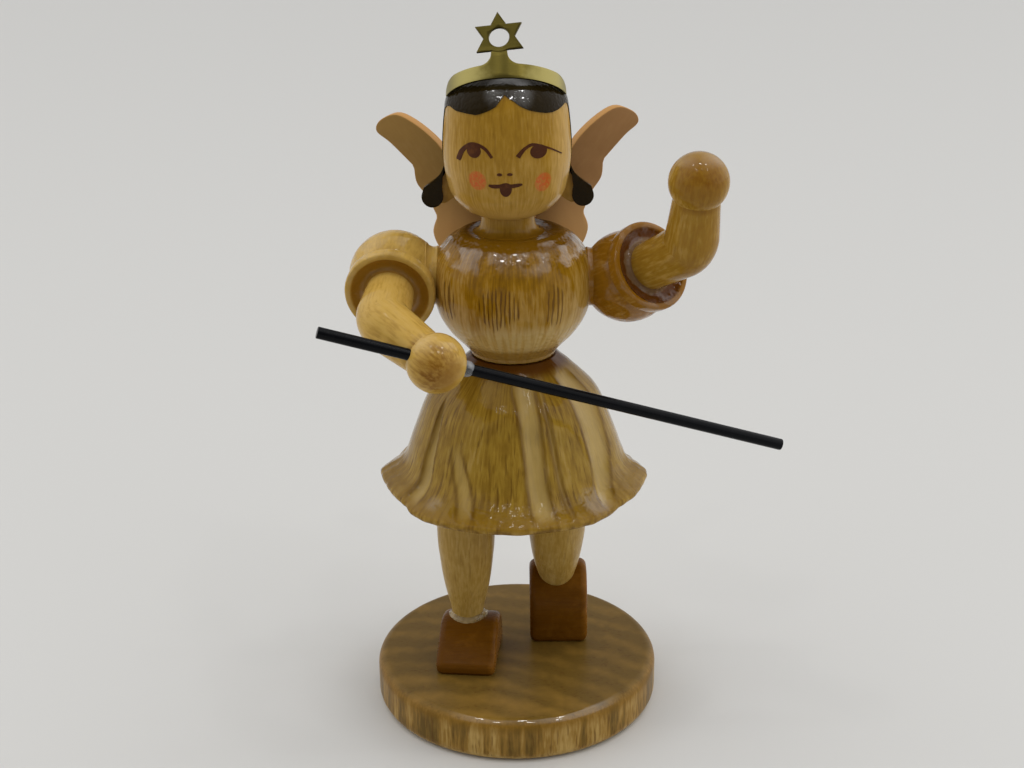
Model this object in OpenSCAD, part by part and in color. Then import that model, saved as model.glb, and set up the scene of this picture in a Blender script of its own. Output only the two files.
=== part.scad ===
// Turned wooden angel figurine on a round base.
// Millimetres, +Z up. The origin is the centre of the base's underside.
// The figure faces -Y. Right and left are the figure's own, so its right hand is at -X.
// A bearing is an angle from straight ahead, positive towards the figure's left.

/* [Base] */
// Diameter of the base disc
base_d = 27; // [26:0.5:30]
// Thickness of the base disc
base_h = 4.3; // [3.8:0.1:6]
// Radius of the base's rounded edges
base_round = 1; // [0.2:0.1:1.2]

/* [Shoes] */
// Length of a shoe from toe to heel
shoe_len = 8.1; // [7.2:0.1:8.6]
// Width of a shoe
shoe_w = 5.6; // [4.8:0.1:6]
// Height of a shoe at its instep
shoe_h = 3.8; // [3.6:0.1:4.2]
// Height of a shoe's toe
toe_h = 1.3; // [1:0.1:1.6]
// Toe of the right shoe, sideways and ahead of the base's centre
right_toe = [-4.95, -5.5]; // [-8:0.05:8]
// Outward turn of the right toe, in degrees
toe_out = 6; // [0:1:12]
// Toe of the left shoe, sideways and behind the base's centre
left_toe = [4.15, 1.3]; // [-8:0.05:8]
// Lift of the left heel, in degrees
heel_lift = 56; // [52:1:60]

/* [Legs] */
// Diameter of a leg at the thigh
thigh_d = 5.5; // [5:0.1:6]
// Diameter of a leg at the ankle
ankle_d = 3; // [2.6:0.1:3.4]
// Centre of the right ankle where the leg enters the shoe
right_ankle = [-4.7, 0, 8.3]; // [-10:0.05:15]
// Centre of the left ankle where the leg enters the shoe
left_ankle = [3.95, 3, 9.9]; // [-10:0.05:15]
// Forward lean of the left leg, in degrees
left_leg_lean = 20; // [15:1:22]

/* [Body] */
// Place of the body's axis ahead of or behind the base's centre
body_y = -0.85; // [-1:0.05:0]

/* [Skirt] */
// Height of the hem's underside above the table
hem_z = 22.7; // [22:0.05:23]
// Diameter of the skirt at its hem
hem_d = 25; // [24:0.5:26]
// Height of the skirt from hem to waist
skirt_h = 12.55; // [12.4:0.05:13.5]
// Depth of the hollow under the skirt
hollow_h = 2.2; // [1:0.1:3]
// Number of flutes round the skirt
flute_count = 10; // [8:1:12]
// Bearing of the front flute, in degrees
flute_bearing = 11; // [0:1:36]
// Width of a flute, in degrees round the skirt
flute_angle = 13; // [10:0.5:20]
// Depth of a flute
flute_depth = 0.4; // [0.2:0.05:0.6]

/* [Torso] */
// Height of the torso
torso_h = 11.4; // [11:0.1:12]
// Largest diameter of the torso
torso_d = 14.2; // [13.8:0.1:15]

/* [Head] */
// Largest diameter of the head
head_d = 11.1; // [10.6:0.1:11.6]
// Height of the head from chin to crown
head_h = 12.3; // [12:0.1:13.2]
// Sideways place of the head
head_x = -0.35; // [-0.6:0.05:0.6]

/* [Crown] */
// Width of the crown's brass band
band_w = 1.25; // [0.9:0.05:1.5]
// Thickness of the brass sheet
sheet_t = 0.25; // [0.2:0.05:0.4]
// Radius of the star's points
star_r = 2.25; // [1.8:0.05:2.4]
// Backward lean of the crown, in degrees
crown_lean = 32; // [26:1:36]

/* [Wings] */
// Thickness of a wing
wing_t = 1.2; // [0.9:0.1:1.5]
// Backward sweep of the wings, in degrees
wing_sweep = 21; // [15:1:25]
// Roll of the wings to the figure's left, in degrees
wing_roll = 1.3; // [0:0.1:3]

/* [Arms] */
// Radius of the puffed sleeves
puff_r = 4.1; // [3.9:0.05:4.3]
// Radius of the sleeves' cuffs
cuff_r = 4; // [3.8:0.05:4.2]
// Diameter of the arms at the elbow
elbow_d = 4.5; // [4.2:0.1:4.7]
// Diameter of the arms at the wrist
wrist_d = 3.8; // [3.5:0.1:4.1]
// Diameter of a ball hand
hand_d = 5.1; // [4.8:0.1:5.4]
// Centre of the right sleeve
right_puff = [-10.45, -0.5, 42.4]; // [-15:0.05:45]
// Bearing and rise of the right upper arm, in degrees
right_upper = [-5, -11.5]; // [-90:0.1:90]
// Bearing and rise of the right forearm, in degrees
right_fore = [49, -20]; // [-90:0.1:90]
// Centre of the left sleeve
left_puff = [10.25, -0.7, 42.2]; // [-15:0.05:45]
// Bearing and rise of the left upper arm, in degrees
left_upper = [38, 28.8]; // [-90:0.1:90]
// Bearing and rise of the left forearm, in degrees
left_fore = [11, 75]; // [-180:0.1:180]
// Reach from a sleeve's centre to the elbow, right and left
upper_reach = [8.2, 8.9]; // [7.5:0.1:9.5]
// Reach from an elbow to the centre of the hand, right and left
fore_reach = [6.7, 6.2]; // [5.4:0.05:7]

/* [Rod] */
// Diameter of the rod
rod_d = 1; // [0.8:0.05:1.2]
// Length of the rod
rod_len = 41.7; // [38:0.1:44]
// Length of the rod on the near side of the hand
rod_butt = 10.1; // [8:0.1:12]
// Bearing and rise of the rod's far end, in degrees
rod_aim = [98.7, -18]; // [-180:0.1:180]

/* [Hidden] */
$fn = 96;
big = 60;
gap = 0.05;
right = 0;
left = 1;

waist_z = hem_z + skirt_h;
shoulder_z = waist_z + torso_h;
chin_z = shoulder_z + 1.5;
hip_z = hem_z + hollow_h;
tenon_d = 3.4;
tenon_h = 4;
ankle_seat = 1.4;
pin_d = 2;
pin_h = 2.5;
waist_r = 3.9;
lip_h = 0.75;
run_out = 0.1;
dowel_d = 3;
dowel_h = 8;
dish_h = 0.2;
spigot_d = 2.6;
spigot_h = 4;
flat_x = torso_d / 2 - 0.25;
shoulder_d = 1.8;
shoulder_len = 4.4;
cuff_back = 2.35;
cuff_face = 3.6;
arm_seat = 0.9;
cuff_arm_d = 4.2;
wing_y = 4.2;
grip_shift = [0, -0.2, 0.25];
wood = [0.80, 0.62, 0.30];
dark_wood = [0.47, 0.27, 0.08];
wing_wood = [0.72, 0.52, 0.34];
brass = [0.75, 0.66, 0.30];

puff = [right_puff, left_puff];
upper_dir = [heading(right_upper), heading(left_upper)];
fore_dir = [heading(right_fore), heading(left_fore)];
elbow = [for (side = [right, left]) puff[side] + upper_reach[side] * upper_dir[side]];
hand = [for (side = [right, left]) elbow[side] + fore_reach[side] * fore_dir[side]];
rod_dir = heading(rod_aim);
grip = hand[right] + grip_shift;

// Unit vector of a bearing and a rise
function heading(a) = [sin(a[0]) * cos(a[1]), -cos(a[0]) * cos(a[1]), sin(a[1])];

// Points of an arc about c, from angle a0 to a1
function arc(c, r, a0, a1, n = 8) = [for (i = [0:n]) let (a = a0 + (a1 - a0) * i / n)
    [c[0] + r * cos(a), c[1] + r * sin(a)]];

// One point between b and c on a smooth curve through a, b, c and d
function between(a, b, c, d, t) = (2 * b + (c - a) * t + (2 * a - 5 * b + 4 * c - d) * t * t
    + (3 * b - a - 3 * c + d) * t * t * t) / 2;

// Smooth curve through a list of points, with n steps from each to the next
function smooth(p, n = 4) = let (last = len(p) - 1) concat(
    [for (i = [0:last - 1]) for (j = [0:n - 1])
        between(p[max(i - 1, 0)], p[i], p[i + 1], p[min(i + 2, last)], j / n)], [p[last]]);

// Turns +Z along a direction, at a place
module aim(place, direction) {
    translate(place)
        rotate([0, acos(direction[2] / norm(direction)), atan2(direction[1], direction[0])])
            children();
}

// Solid turned from an outline of radius and height
module turned(outline) {
    rotate_extrude()
        polygon(concat([[0, outline[0][1]]], outline, [[0, outline[len(outline) - 1][1]]]));
}

module base_disc() {
    rim = base_d / 2 - base_round;
    color(wood) difference() {
        turned(concat(arc([rim, base_round], base_round, -90, 0),
            arc([rim, base_h - base_round], base_round, 0, 90)));
        translate([right_ankle[0], right_ankle[1], base_h - pin_h])
            cylinder(d = pin_d + 2 * gap, h = pin_h + 1);
    }
}

// A shoe with its toe at the origin, its sole on the ground and its heel towards +Y
module shoe() {
    heel_h = 2.9;
    instep = smooth([[0, 0.3], [0.05, toe_h * 0.7], [0.6, toe_h + 0.2], [2.6, shoe_h * 0.8],
        [4.6, shoe_h], [shoe_len - 1, heel_h + 0.3], [shoe_len, heel_h - 1.2]]);
    rotate([90, 0, 90]) linear_extrude(shoe_w, center = true)
        polygon(concat([[0.2, 0]], instep, [[shoe_len, 0]]));
}

module right_shoe() {
    color(dark_wood) difference() {
        translate([right_toe[0], right_toe[1], base_h]) rotate([0, 0, -toe_out]) shoe();
        translate([right_ankle[0], right_ankle[1], right_ankle[2] - ankle_seat])
            cylinder(d = ankle_d + 2 * gap, h = big);
        translate([right_ankle[0], right_ankle[1], base_h - 1]) cylinder(d = pin_d + 2 * gap, h = big);
    }
}

module left_shoe() {
    toe_flat = 0.35;
    color(dark_wood) difference() {
        translate([left_toe[0], left_toe[1], base_h - toe_flat]) rotate([heel_lift, 0, 0]) shoe();
        translate([-big / 2, -big / 2, base_h - big]) cube(big);
        aim(left_ankle, leg_dir(left)) translate([0, 0, -ankle_seat])
            cylinder(d = ankle_d + 2 * gap, h = big);
    }
}

// Direction of a leg from its ankle to the hip
function leg_dir(side) = side == right ? [0, 0, 1] : [0, -sin(left_leg_lean), cos(left_leg_lean)];

// Length of a leg from its ankle to the hip
function leg_len(side) = (hip_z - (side == right ? right_ankle[2] : left_ankle[2])) / leg_dir(side)[2];

// A turned leg with the tenons at both ends, along +Z from the ankle
module leg(length, foot_pin) {
    swell = thigh_d / 2;
    translate([0, 0, -foot_pin]) cylinder(d = pin_d, h = foot_pin);
    translate([0, 0, -ankle_seat]) cylinder(d = ankle_d, h = ankle_seat + 0.1);
    turned(smooth([[ankle_d / 2, 0], [swell * 0.6, 0.9], [swell * 0.79, 3.2], [swell * 0.92, 5.8],
        [swell, 9], [swell, length + 2]]));
}

module leg_tenon(side, clearance) {
    aim(side == right ? right_ankle : left_ankle, leg_dir(side))
        cylinder(d = tenon_d + 2 * clearance, h = leg_len(side) + tenon_h + 4 * clearance);
}

module fitted_leg(side) {
    ankle = side == right ? right_ankle : left_ankle;
    color(wood) {
        difference() {
            aim(ankle, leg_dir(side))
                leg(leg_len(side), side == right ? ankle[2] - base_h + pin_h - gap : ankle_seat);
            translate([-big / 2, -big / 2, hip_z]) cube(big);
        }
        leg_tenon(side, 0);
    }
}

module right_leg() {
    fitted_leg(right);
}

module left_leg() {
    fitted_leg(left);
}

// Outline of the skirt's outside, from the hem's lip to the waist
function bell() = let (r = hem_d / 2) smooth([[r, lip_h], [r - 0.5, 1.2], [r - 1.55, 1.85], [r - 2.45, 3],
    [9.2, 5.1], [7.8, 8.55], [6.1, 10.55], [waist_r, skirt_h]], 2);

// Depth of a flute at a height over the hem, running out at the hem's lip and at the waist
function flute_cut(z) = flute_depth * min(z - lip_h - run_out, 0.6 * (skirt_h - z) - run_out, 1);

module skirt() {
    lip = 0.4;
    hem_w = 1.3;
    hollow_r = 8.9;
    color(wood) difference() {
        translate([0, body_y, hem_z]) turned(concat([[hollow_r, hollow_h], [hem_d / 2 - hem_w, 0]],
            arc([hem_d / 2 - lip, lip], lip, -90, 0), bell()));
        for (i = [0:flute_count - 1])
            translate([0, body_y, hem_z]) rotate([0, 0, flute_bearing + i * 360 / flute_count]) flute();
        for (side = [right, left]) leg_tenon(side, gap);
        translate([0, body_y, waist_z - dowel_h / 2 - gap]) cylinder(d = dowel_d + 2 * gap, h = dowel_h);
    }
}

// What is cut away for the flute that is straight ahead
module flute() {
    edge = bell();
    beyond = hem_d / 2 + 1;
    floor_line = [for (p = edge) [p[0] - flute_cut(p[1]), p[1]]];
    rotate([0, 0, -90 - flute_angle / 2]) rotate_extrude(angle = flute_angle)
        polygon(concat([[beyond, lip_h]], floor_line, [[beyond, skirt_h]]));
}

module waist_dowel() {
    color(wood) translate([0, body_y, waist_z - dowel_h / 2]) cylinder(d = dowel_d, h = dowel_h);
}

module torso() {
    r = torso_d / 2;
    foot = 0.6;
    color(wood) difference() {
        translate([0, body_y, waist_z]) turned(concat(
            [[waist_r - 0.7, 0]], arc([waist_r - 0.5, 0.5], 0.5, -60, 0, 4),
            smooth([[waist_r + 0.1, foot], [4.6, 1.25], [5.75, 2.5], [r - 0.4, 4.2], [r, 6.5],
                [r - 0.25, 8.8], [5.9, 10.4], [4.75, torso_h]]),
            [[4.4, torso_h], [3.1, torso_h - dish_h], [2.3, torso_h - dish_h]]));
        for (side = [right, left]) shoulder_seat(side);
        for (side = [right, left]) wing_plate(side, gap);
        translate([0, body_y, waist_z - 1]) cylinder(d = dowel_d + 2 * gap, h = dowel_h / 2 + 1 + gap);
        translate([head_x, body_y, shoulder_z - dish_h - spigot_h - gap])
            cylinder(d = spigot_d + 2 * gap, h = spigot_h + 2);
    }
}

// Which way is out from the body on a side
function out(side) = side == right ? -1 : 1;

// Flat and dowel hole for a sleeve
module shoulder_seat(side) {
    seat_d = 2 * sqrt(puff_r * puff_r - pow(abs(puff[side][0]) - flat_x, 2)) + 0.2;
    aim([out(side) * flat_x, puff[side][1], puff[side][2]], [out(side), 0, 0]) {
        cylinder(d = seat_d, h = 4);
        translate([0, 0, -shoulder_len / 2 - gap]) cylinder(d = shoulder_d + 2 * gap, h = shoulder_len);
    }
}

module shoulder_dowel(side) {
    color(wood)
        aim([out(side) * (flat_x - shoulder_len / 2), puff[side][1], puff[side][2]], [out(side), 0, 0])
            cylinder(d = shoulder_d, h = shoulder_len);
}

module right_shoulder_dowel() {
    shoulder_dowel(right);
}

module left_shoulder_dowel() {
    shoulder_dowel(left);
}

module head() {
    r = head_d / 2;
    neck_r = 2.35;
    neck_z = shoulder_z - dish_h;
    cut_y = 0.3;
    color(wood) translate([head_x, body_y, 0]) {
        translate([0, 0, neck_z - spigot_h]) cylinder(d = spigot_d, h = spigot_h + 1);
        turned(concat([[neck_r, neck_z]], smooth([[neck_r, chin_z - 0.1], [3.6, chin_z + 0.5],
            [4.75, chin_z + 1.7], [r - 0.3, chin_z + 3.1], [r, chin_z + 5.5], [r - 0.25, chin_z + 9],
            [r - 0.5, chin_z + 10.3], [r - 1.05, head_h + chin_z - 1.1], [r - 1.95, head_h + chin_z - 0.4],
            [r - 3.35, head_h + chin_z - 0.1], [0.3, head_h + chin_z]])));
        intersection() {
            hair_flare(r);
            translate([-big / 2, cut_y, 0]) cube(big);
        }
    }
}

// The hair's turned flare, a ring round the back of the jaw
module hair_flare(r) {
    rotate_extrude() translate([0, chin_z])
        polygon(concat(smooth([[r - 0.2, 4.8], [r + 0.35, 3.4], [r + 1.8, 2.2]]),
            arc([r + 1.05, 1.4], 0.95, 25, -190), [[r - 0.1, 2.6], [r - 0.4, 3]]));
}

module crown() {
    // Rests on the head's sides, with its front raised by the lean
    ring_r = 5.05;
    // How far the band reaches round each side of the star, in degrees
    reach = [69, 79];
    ring_turn = 6;
    ring_z = 9.72;
    star_turn = 3;
    stem_w = 1.3;
    star_z = 3.55;
    hole_r = 0.85;
    color(brass) translate([head_x, body_y, chin_z + ring_z]) rotate([-crown_lean, 0, 0])
        rotate([0, 0, -ring_turn]) {
        difference() {
            cylinder(r = ring_r + sheet_t, h = band_w);
            translate([0, 0, -1]) cylinder(r = ring_r, h = band_w + 2);
            translate([0, 0, -1]) linear_extrude(band_w + 2)
                polygon([[0, 0], 2 * ring_r * [sin(reach[left]), -cos(reach[left])],
                    [2 * ring_r, 2 * ring_r], [-2 * ring_r, 2 * ring_r],
                    2 * ring_r * [-sin(reach[right]), -cos(reach[right])]]);
        }
        intersection() {
            difference() {
                cylinder(r = ring_r + sheet_t, h = star_z);
                translate([0, 0, -1]) cylinder(r = ring_r, h = star_z + 2);
            }
            translate([0, -ring_r - 1, 0]) rotate([90, 0, 0]) linear_extrude(4, center = true) stem(stem_w);
        }
        translate([0, -ring_r, star_z]) rotate([90, 0, 0]) linear_extrude(sheet_t) difference() {
            rotate(star_turn) star();
            circle(r = hole_r);
        }
    }
}

// The crown's stem between band and star, with hollow fillets
module stem(width) {
    fillet = 0.95;
    half = width / 2;
    polygon(concat([[-half - fillet, band_w - 0.2]], arc([-half - fillet, band_w + fillet], fillet, -90, 0),
        arc([half + fillet, band_w + fillet], fillet, 180, 270), [[half + fillet, band_w - 0.2]]));
}

// Star with six points
module star() {
    waist = star_r / sqrt(3);
    polygon([for (i = [0:11]) (i % 2 == 0 ? star_r : waist) * [sin(30 * i), cos(30 * i)]]);
}

// Flat wing, standing in its slot in the back of the torso
module wing_plate(side, clearance) {
    translate([0.1, wing_y, waist_z]) rotate([0, -wing_roll, 0])
        mirror([side == right ? 1 : 0, 0, 0]) rotate([90, 0, wing_sweep])
            linear_extrude(wing_t + 2 * clearance, center = true) wing_outline();
}

// Wing outline from the root outwards, with its heights from the waist
module wing_outline() {
    root = 2;
    polygon(concat([[root, 5], [root, 10.5]],
        smooth([[4.1, 14], [6.7, 17.9], [10.1, 20.2], [12.1, 19.8], [12.7, 18.7], [11.3, 17.6],
            [9.25, 15.7]]),
        smooth([[9.1, 15.3], [8.9, 14], [7.9, 12.7], [7.1, 11.1]]),
        smooth([[7.1, 10.8], [7.5, 9.4], [6.8, 7.8], [5.2, 6.4]]), [[3.4, 5]]));
}

module right_wing() {
    color(wing_wood) wing_plate(right, 0);
}

module left_wing() {
    color(wing_wood) wing_plate(left, 0);
}

// A puffed sleeve turned in one with its cuff, along +Z from the middle of the puff
module sleeve_blank() {
    groove_r = sqrt(puff_r * puff_r - cuff_back * cuff_back);
    bore_r = cuff_arm_d / 2 + gap;
    rim = 0.35;
    difference() {
        turned(concat(arc([0, 0], puff_r, -90, asin(cuff_back / puff_r), 24), [[groove_r, cuff_back]],
            arc([cuff_r - 0.3, cuff_back + 0.3], 0.3, -90, 0, 4),
            arc([cuff_r - 0.3, cuff_face - 0.3], 0.3, 0, 90, 4)));
        translate([0, 0, cuff_face - 1]) cylinder(r1 = bore_r, r2 = cuff_r - rim, h = 1.01);
        translate([0, 0, arm_seat]) cylinder(r = bore_r, h = big);
    }
}

module sleeve(side) {
    color(wood) difference() {
        aim(puff[side], upper_dir[side]) sleeve_blank();
        translate([side == right ? -flat_x : flat_x - big, -big / 2, 0]) cube(big);
        aim([out(side) * (flat_x - 1), puff[side][1], puff[side][2]], [out(side), 0, 0])
            cylinder(d = shoulder_d + 2 * gap, h = shoulder_len / 2 + 1 + gap);
    }
}

module right_sleeve() {
    sleeve(right);
}

module left_sleeve() {
    sleeve(left);
}

// Half space past the mitre of an elbow, or before it
module mitre(side, past) {
    aim(elbow[side], (past ? 1 : -1) * (upper_dir[side] + fore_dir[side]))
        translate([-big / 2, -big / 2, 0]) cube(big);
}

module upper_arm(side) {
    color(wood) difference() {
        aim(puff[side], upper_dir[side]) translate([0, 0, arm_seat]) {
            cylinder(d = cuff_arm_d, h = cuff_face - 1 - arm_seat);
            translate([0, 0, cuff_face - 1.01 - arm_seat])
                cylinder(d1 = cuff_arm_d, d2 = elbow_d + 0.3, h = upper_reach[side] - cuff_face + 4);
        }
        mitre(side, true);
    }
}

module right_upper_arm() {
    upper_arm(right);
}

module left_upper_arm() {
    upper_arm(left);
}

module forearm(side, drilled) {
    past_mitre = 3;
    wrist_angle = -acos(wrist_d / hand_d);
    color(wood) difference() {
        aim(hand[side], fore_dir[side])
            turned(concat([[elbow_d / 2 + 0.2, -fore_reach[side] - past_mitre]],
                arc([0, 0], hand_d / 2, wrist_angle, 90, 24)));
        mitre(side, false);
        if (drilled) aim(grip - hand_d * rod_dir, rod_dir) cylinder(d = rod_d + 2 * gap, h = 2 * hand_d);
    }
}

module right_forearm() {
    forearm(right, true);
}

module left_forearm() {
    forearm(left, false);
}

module rod() {
    color([0.1, 0.1, 0.11]) aim(grip - rod_butt * rod_dir, rod_dir) cylinder(d = rod_d, h = rod_len);
}

// Glue that set where the rod leaves the hand
module rod_glue() {
    bead_r = 0.7;
    color([0.75, 0.78, 0.82]) difference() {
        translate(grip + (hand_d / 2 + 0.1) * rod_dir) sphere(r = bead_r);
        translate(hand[right]) sphere(d = hand_d + gap);
        aim(grip, rod_dir) cylinder(d = rod_d + gap, h = 2 * hand_d);
    }
}

base_disc();
right_shoe();
left_shoe();
right_leg();
left_leg();
skirt();
waist_dowel();
torso();
head();
crown();
right_wing();
left_wing();
right_shoulder_dowel();
left_shoulder_dowel();
right_sleeve();
left_sleeve();
right_upper_arm();
left_upper_arm();
right_forearm();
left_forearm();
rod();
rod_glue();
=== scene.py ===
"""Turned wooden angel figurine on a round base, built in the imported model's frame.

The figure faces -Y and its right hand is at -X. A bearing is an angle in degrees from
straight ahead, positive towards the figure's left. Sizes are in millimetres until a mesh
is made, and the meshes are in metres.
"""

from __future__ import annotations

import logging
import math
from collections.abc import Callable, Iterator, Sequence
from contextlib import contextmanager
from dataclasses import dataclass, field
from enum import Enum
from functools import cached_property

import bpy
from mathutils import Matrix, Vector, noise

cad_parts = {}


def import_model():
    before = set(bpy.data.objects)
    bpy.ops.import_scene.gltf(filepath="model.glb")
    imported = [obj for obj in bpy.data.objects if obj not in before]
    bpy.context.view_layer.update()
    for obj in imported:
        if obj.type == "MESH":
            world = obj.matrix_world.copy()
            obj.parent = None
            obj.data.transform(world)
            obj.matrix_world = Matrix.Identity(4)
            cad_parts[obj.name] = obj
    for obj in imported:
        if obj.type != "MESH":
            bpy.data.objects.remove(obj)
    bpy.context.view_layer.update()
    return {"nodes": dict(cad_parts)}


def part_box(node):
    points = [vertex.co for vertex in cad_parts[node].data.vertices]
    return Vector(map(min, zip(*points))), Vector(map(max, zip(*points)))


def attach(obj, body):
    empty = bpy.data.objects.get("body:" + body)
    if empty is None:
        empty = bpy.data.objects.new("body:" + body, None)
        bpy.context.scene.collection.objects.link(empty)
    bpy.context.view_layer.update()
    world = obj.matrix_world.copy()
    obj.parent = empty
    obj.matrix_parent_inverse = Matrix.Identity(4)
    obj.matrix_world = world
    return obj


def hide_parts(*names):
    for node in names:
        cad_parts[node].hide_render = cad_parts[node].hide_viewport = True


LOG = logging.getLogger("angel")
MM = 0.001
TURNS = 144
CREASE = math.radians(32)
SHARP = math.radians(40)
DOUBLES = 0.002
ACROSS = Vector((1, 0, 0)).freeze()
BACK = Vector((0, 1, 0)).freeze()
UP = Vector((0, 0, 1)).freeze()
THICK_LACQUER = {"Roughness": 0.06, "IOR": 1.4, "Coat Weight": 1.0, "Coat Roughness": 0.05}

Pair = tuple[float, float]
Triple = tuple[float, float, float]
Colour = tuple[float, float, float, float]
Socket = bpy.types.NodeSocket


class Side(Enum):
    """The figure's own sides, with the way out from the body."""

    RIGHT = -1
    LEFT = 1

    @property
    def word(self) -> str:
        """The side's name in a piece's name."""
        return self.name.lower()


class Slot(Enum):
    """The record's material slots."""

    BODY = "lacquered_wood"
    BASE = "base_wood"
    SHOE = "shoe_wood"
    WING = "wing_wood"
    BRASS = "brass"
    ROD = "black_rod"
    GLUE = "set_glue"
    HAIR = "hair_paint"
    FACE = "face_paint"


def srgb(red: int, green: int, blue: int) -> Colour:
    """Gives the linear colour of three sRGB bytes."""
    parts = [channel / 255 for channel in (red, green, blue)]
    return (*(c / 12.92 if c < 0.04045 else ((c + 0.055) / 1.055) ** 2.4 for c in parts), 1.0)


def ease(low: float, high: float, value: float) -> float:
    """Goes smoothly from 0 at low to 1 at high, whichever of them is the larger."""
    share = min(max((value - low) / (high - low), 0.0), 1.0)
    return share * share * (3 - 2 * share)


def arc(middle: Pair, radius: float, start: float, end: float, steps: int = 10) -> list[Pair]:
    """Gives points of an arc.

    Args:
        middle: Centre of the arc.
        radius: Its radius.
        start: Angle of the first point, in degrees.
        end: Angle of the last point, in degrees.
        steps: Steps from the first point to the last.

    Returns:
        The points in order.
    """
    angles = (math.radians(start + (end - start) * i / steps) for i in range(steps + 1))
    return [(middle[0] + radius * math.cos(a), middle[1] + radius * math.sin(a)) for a in angles]


def smooth(points: Sequence[Sequence[float]], steps: int = 6) -> list[tuple[float, ...]]:
    """Gives a smooth curve through points of any number of coordinates.

    Args:
        points: Points that the curve goes through.
        steps: Steps from each point to the next.

    Returns:
        The curve's points in order.
    """
    last = len(points) - 1
    curve: list[tuple[float, ...]] = []
    for i in range(last):
        a, b, c, d = (points[min(max(k, 0), last)] for k in range(i - 1, i + 3))
        for j in range(steps):
            t = j / steps
            curve.append(tuple(
                (2 * q + (r - p) * t + (2 * p - 5 * q + 4 * r - s) * t**2
                 + (3 * q - p - 3 * r + s) * t**3) / 2
                for p, q, r, s in zip(a, b, c, d)))
    curve.append(tuple(points[last]))
    return curve


def closed(points: Sequence[Pair], steps: int = 4) -> list[tuple[float, ...]]:
    """Gives a smooth curve through points and straight back to the first of them."""
    return [*smooth(points, steps), points[0]]


def ruled(start: Pair, end: Pair, steps: int) -> list[Pair]:
    """Gives evenly spaced points of a straight line, both ends included."""
    return [(start[0] + (end[0] - start[0]) * i / steps, start[1] + (end[1] - start[1]) * i / steps)
            for i in range(steps + 1)]


def lookup(table: Sequence[Sequence[float]], at: float) -> list[float]:
    """Reads a table between its rows.

    Args:
        table: Rows in order of their first number.
        at: Where to read, in terms of the first number.

    Returns:
        The other numbers of the row, and those of the end row beyond either end.
    """
    if at <= table[0][0]:
        return list(table[0][1:])
    for low, high in zip(table, table[1:]):
        if at <= high[0]:
            share = (at - low[0]) / (high[0] - low[0])
            return [p + (q - p) * share for p, q in zip(low[1:], high[1:])]
    return list(table[-1][1:])


def heading(bearing: float, rise: float) -> Vector:
    """Gives the unit vector of a bearing and a rise, in degrees."""
    across, up = math.radians(bearing), math.radians(rise)
    return Vector((math.sin(across) * math.cos(up), -math.cos(across) * math.cos(up), math.sin(up)))


def swing(degrees: float, axis: str) -> Matrix:
    """Gives the matrix of a turn about an axis."""
    return Matrix.Rotation(math.radians(degrees), 4, axis)


def aim(place: Vector, direction: Vector) -> Matrix:
    """Gives the matrix that turns +Z along a direction, at a place.

    Args:
        place: Where the origin goes.
        direction: Where +Z goes.

    Returns:
        The matrix.
    """
    way = direction.normalized()
    turn = Matrix.Rotation(math.atan2(way.y, way.x), 4, "Z")
    return Matrix.Translation(place) @ turn @ Matrix.Rotation(math.acos(way.z), 4, "Y")


def ripple(place: Vector, scale: float, seed: float = 0.0) -> float:
    """Gives a smooth wave between about -1 and 1, the same on each run."""
    return noise.noise(place * scale + Vector((seed, 1.7 * seed, -seed)))


def box_mm(node: str) -> tuple[Vector, Vector]:
    """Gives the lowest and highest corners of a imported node, in millimetres."""
    low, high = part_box(node)
    return low / MM, high / MM


class Value:
    """A number that varies over a surface, so that shader maths reads as Python."""

    def __init__(self, graph: Graph, socket: Socket) -> None:
        """Wraps one socket of a graph."""
        self.graph = graph
        self.socket = socket

    def maths(self, operation: str, first: Value | float, second: Value | float = 0.0) -> Value:
        """Adds a Math node on two numbers."""
        made = self.graph.node("ShaderNodeMath", {"operation": operation}, {0: first, 1: second})
        return Value(self.graph, made.outputs[0])

    def __add__(self, other: Value | float) -> Value:
        """Gives self + other."""
        return self.maths("ADD", self, other)

    def __radd__(self, other: float) -> Value:
        """Gives other + self."""
        return self.maths("ADD", other, self)

    def __sub__(self, other: Value | float) -> Value:
        """Gives self - other."""
        return self.maths("SUBTRACT", self, other)

    def __rsub__(self, other: float) -> Value:
        """Gives other - self."""
        return self.maths("SUBTRACT", other, self)

    def __mul__(self, other: Value | float) -> Value:
        """Gives self * other."""
        return self.maths("MULTIPLY", self, other)

    def __rmul__(self, other: float) -> Value:
        """Gives other * self."""
        return self.maths("MULTIPLY", other, self)

    def rise(self, low: float, high: float) -> Value:
        """Rises smoothly from 0 at low to 1 at high, or falls where low is the larger.

        Args:
            low: The number that gives 0.
            high: The number that gives 1.

        Returns:
            The share, from 0 to 1.
        """
        if low > high:
            return 1 - self.rise(high, low)
        made = self.graph.node("ShaderNodeMapRange", {"interpolation_type": "SMOOTHSTEP"},
                               {"Value": self, "From Min": low, "From Max": high})
        return Value(self.graph, made.outputs[0])

    def size(self) -> Value:
        """Gives the number without its sign."""
        return self.maths("ABSOLUTE", self)

    def wave(self) -> Value:
        """Gives the sine of the number."""
        return self.maths("SINE", self)


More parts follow.
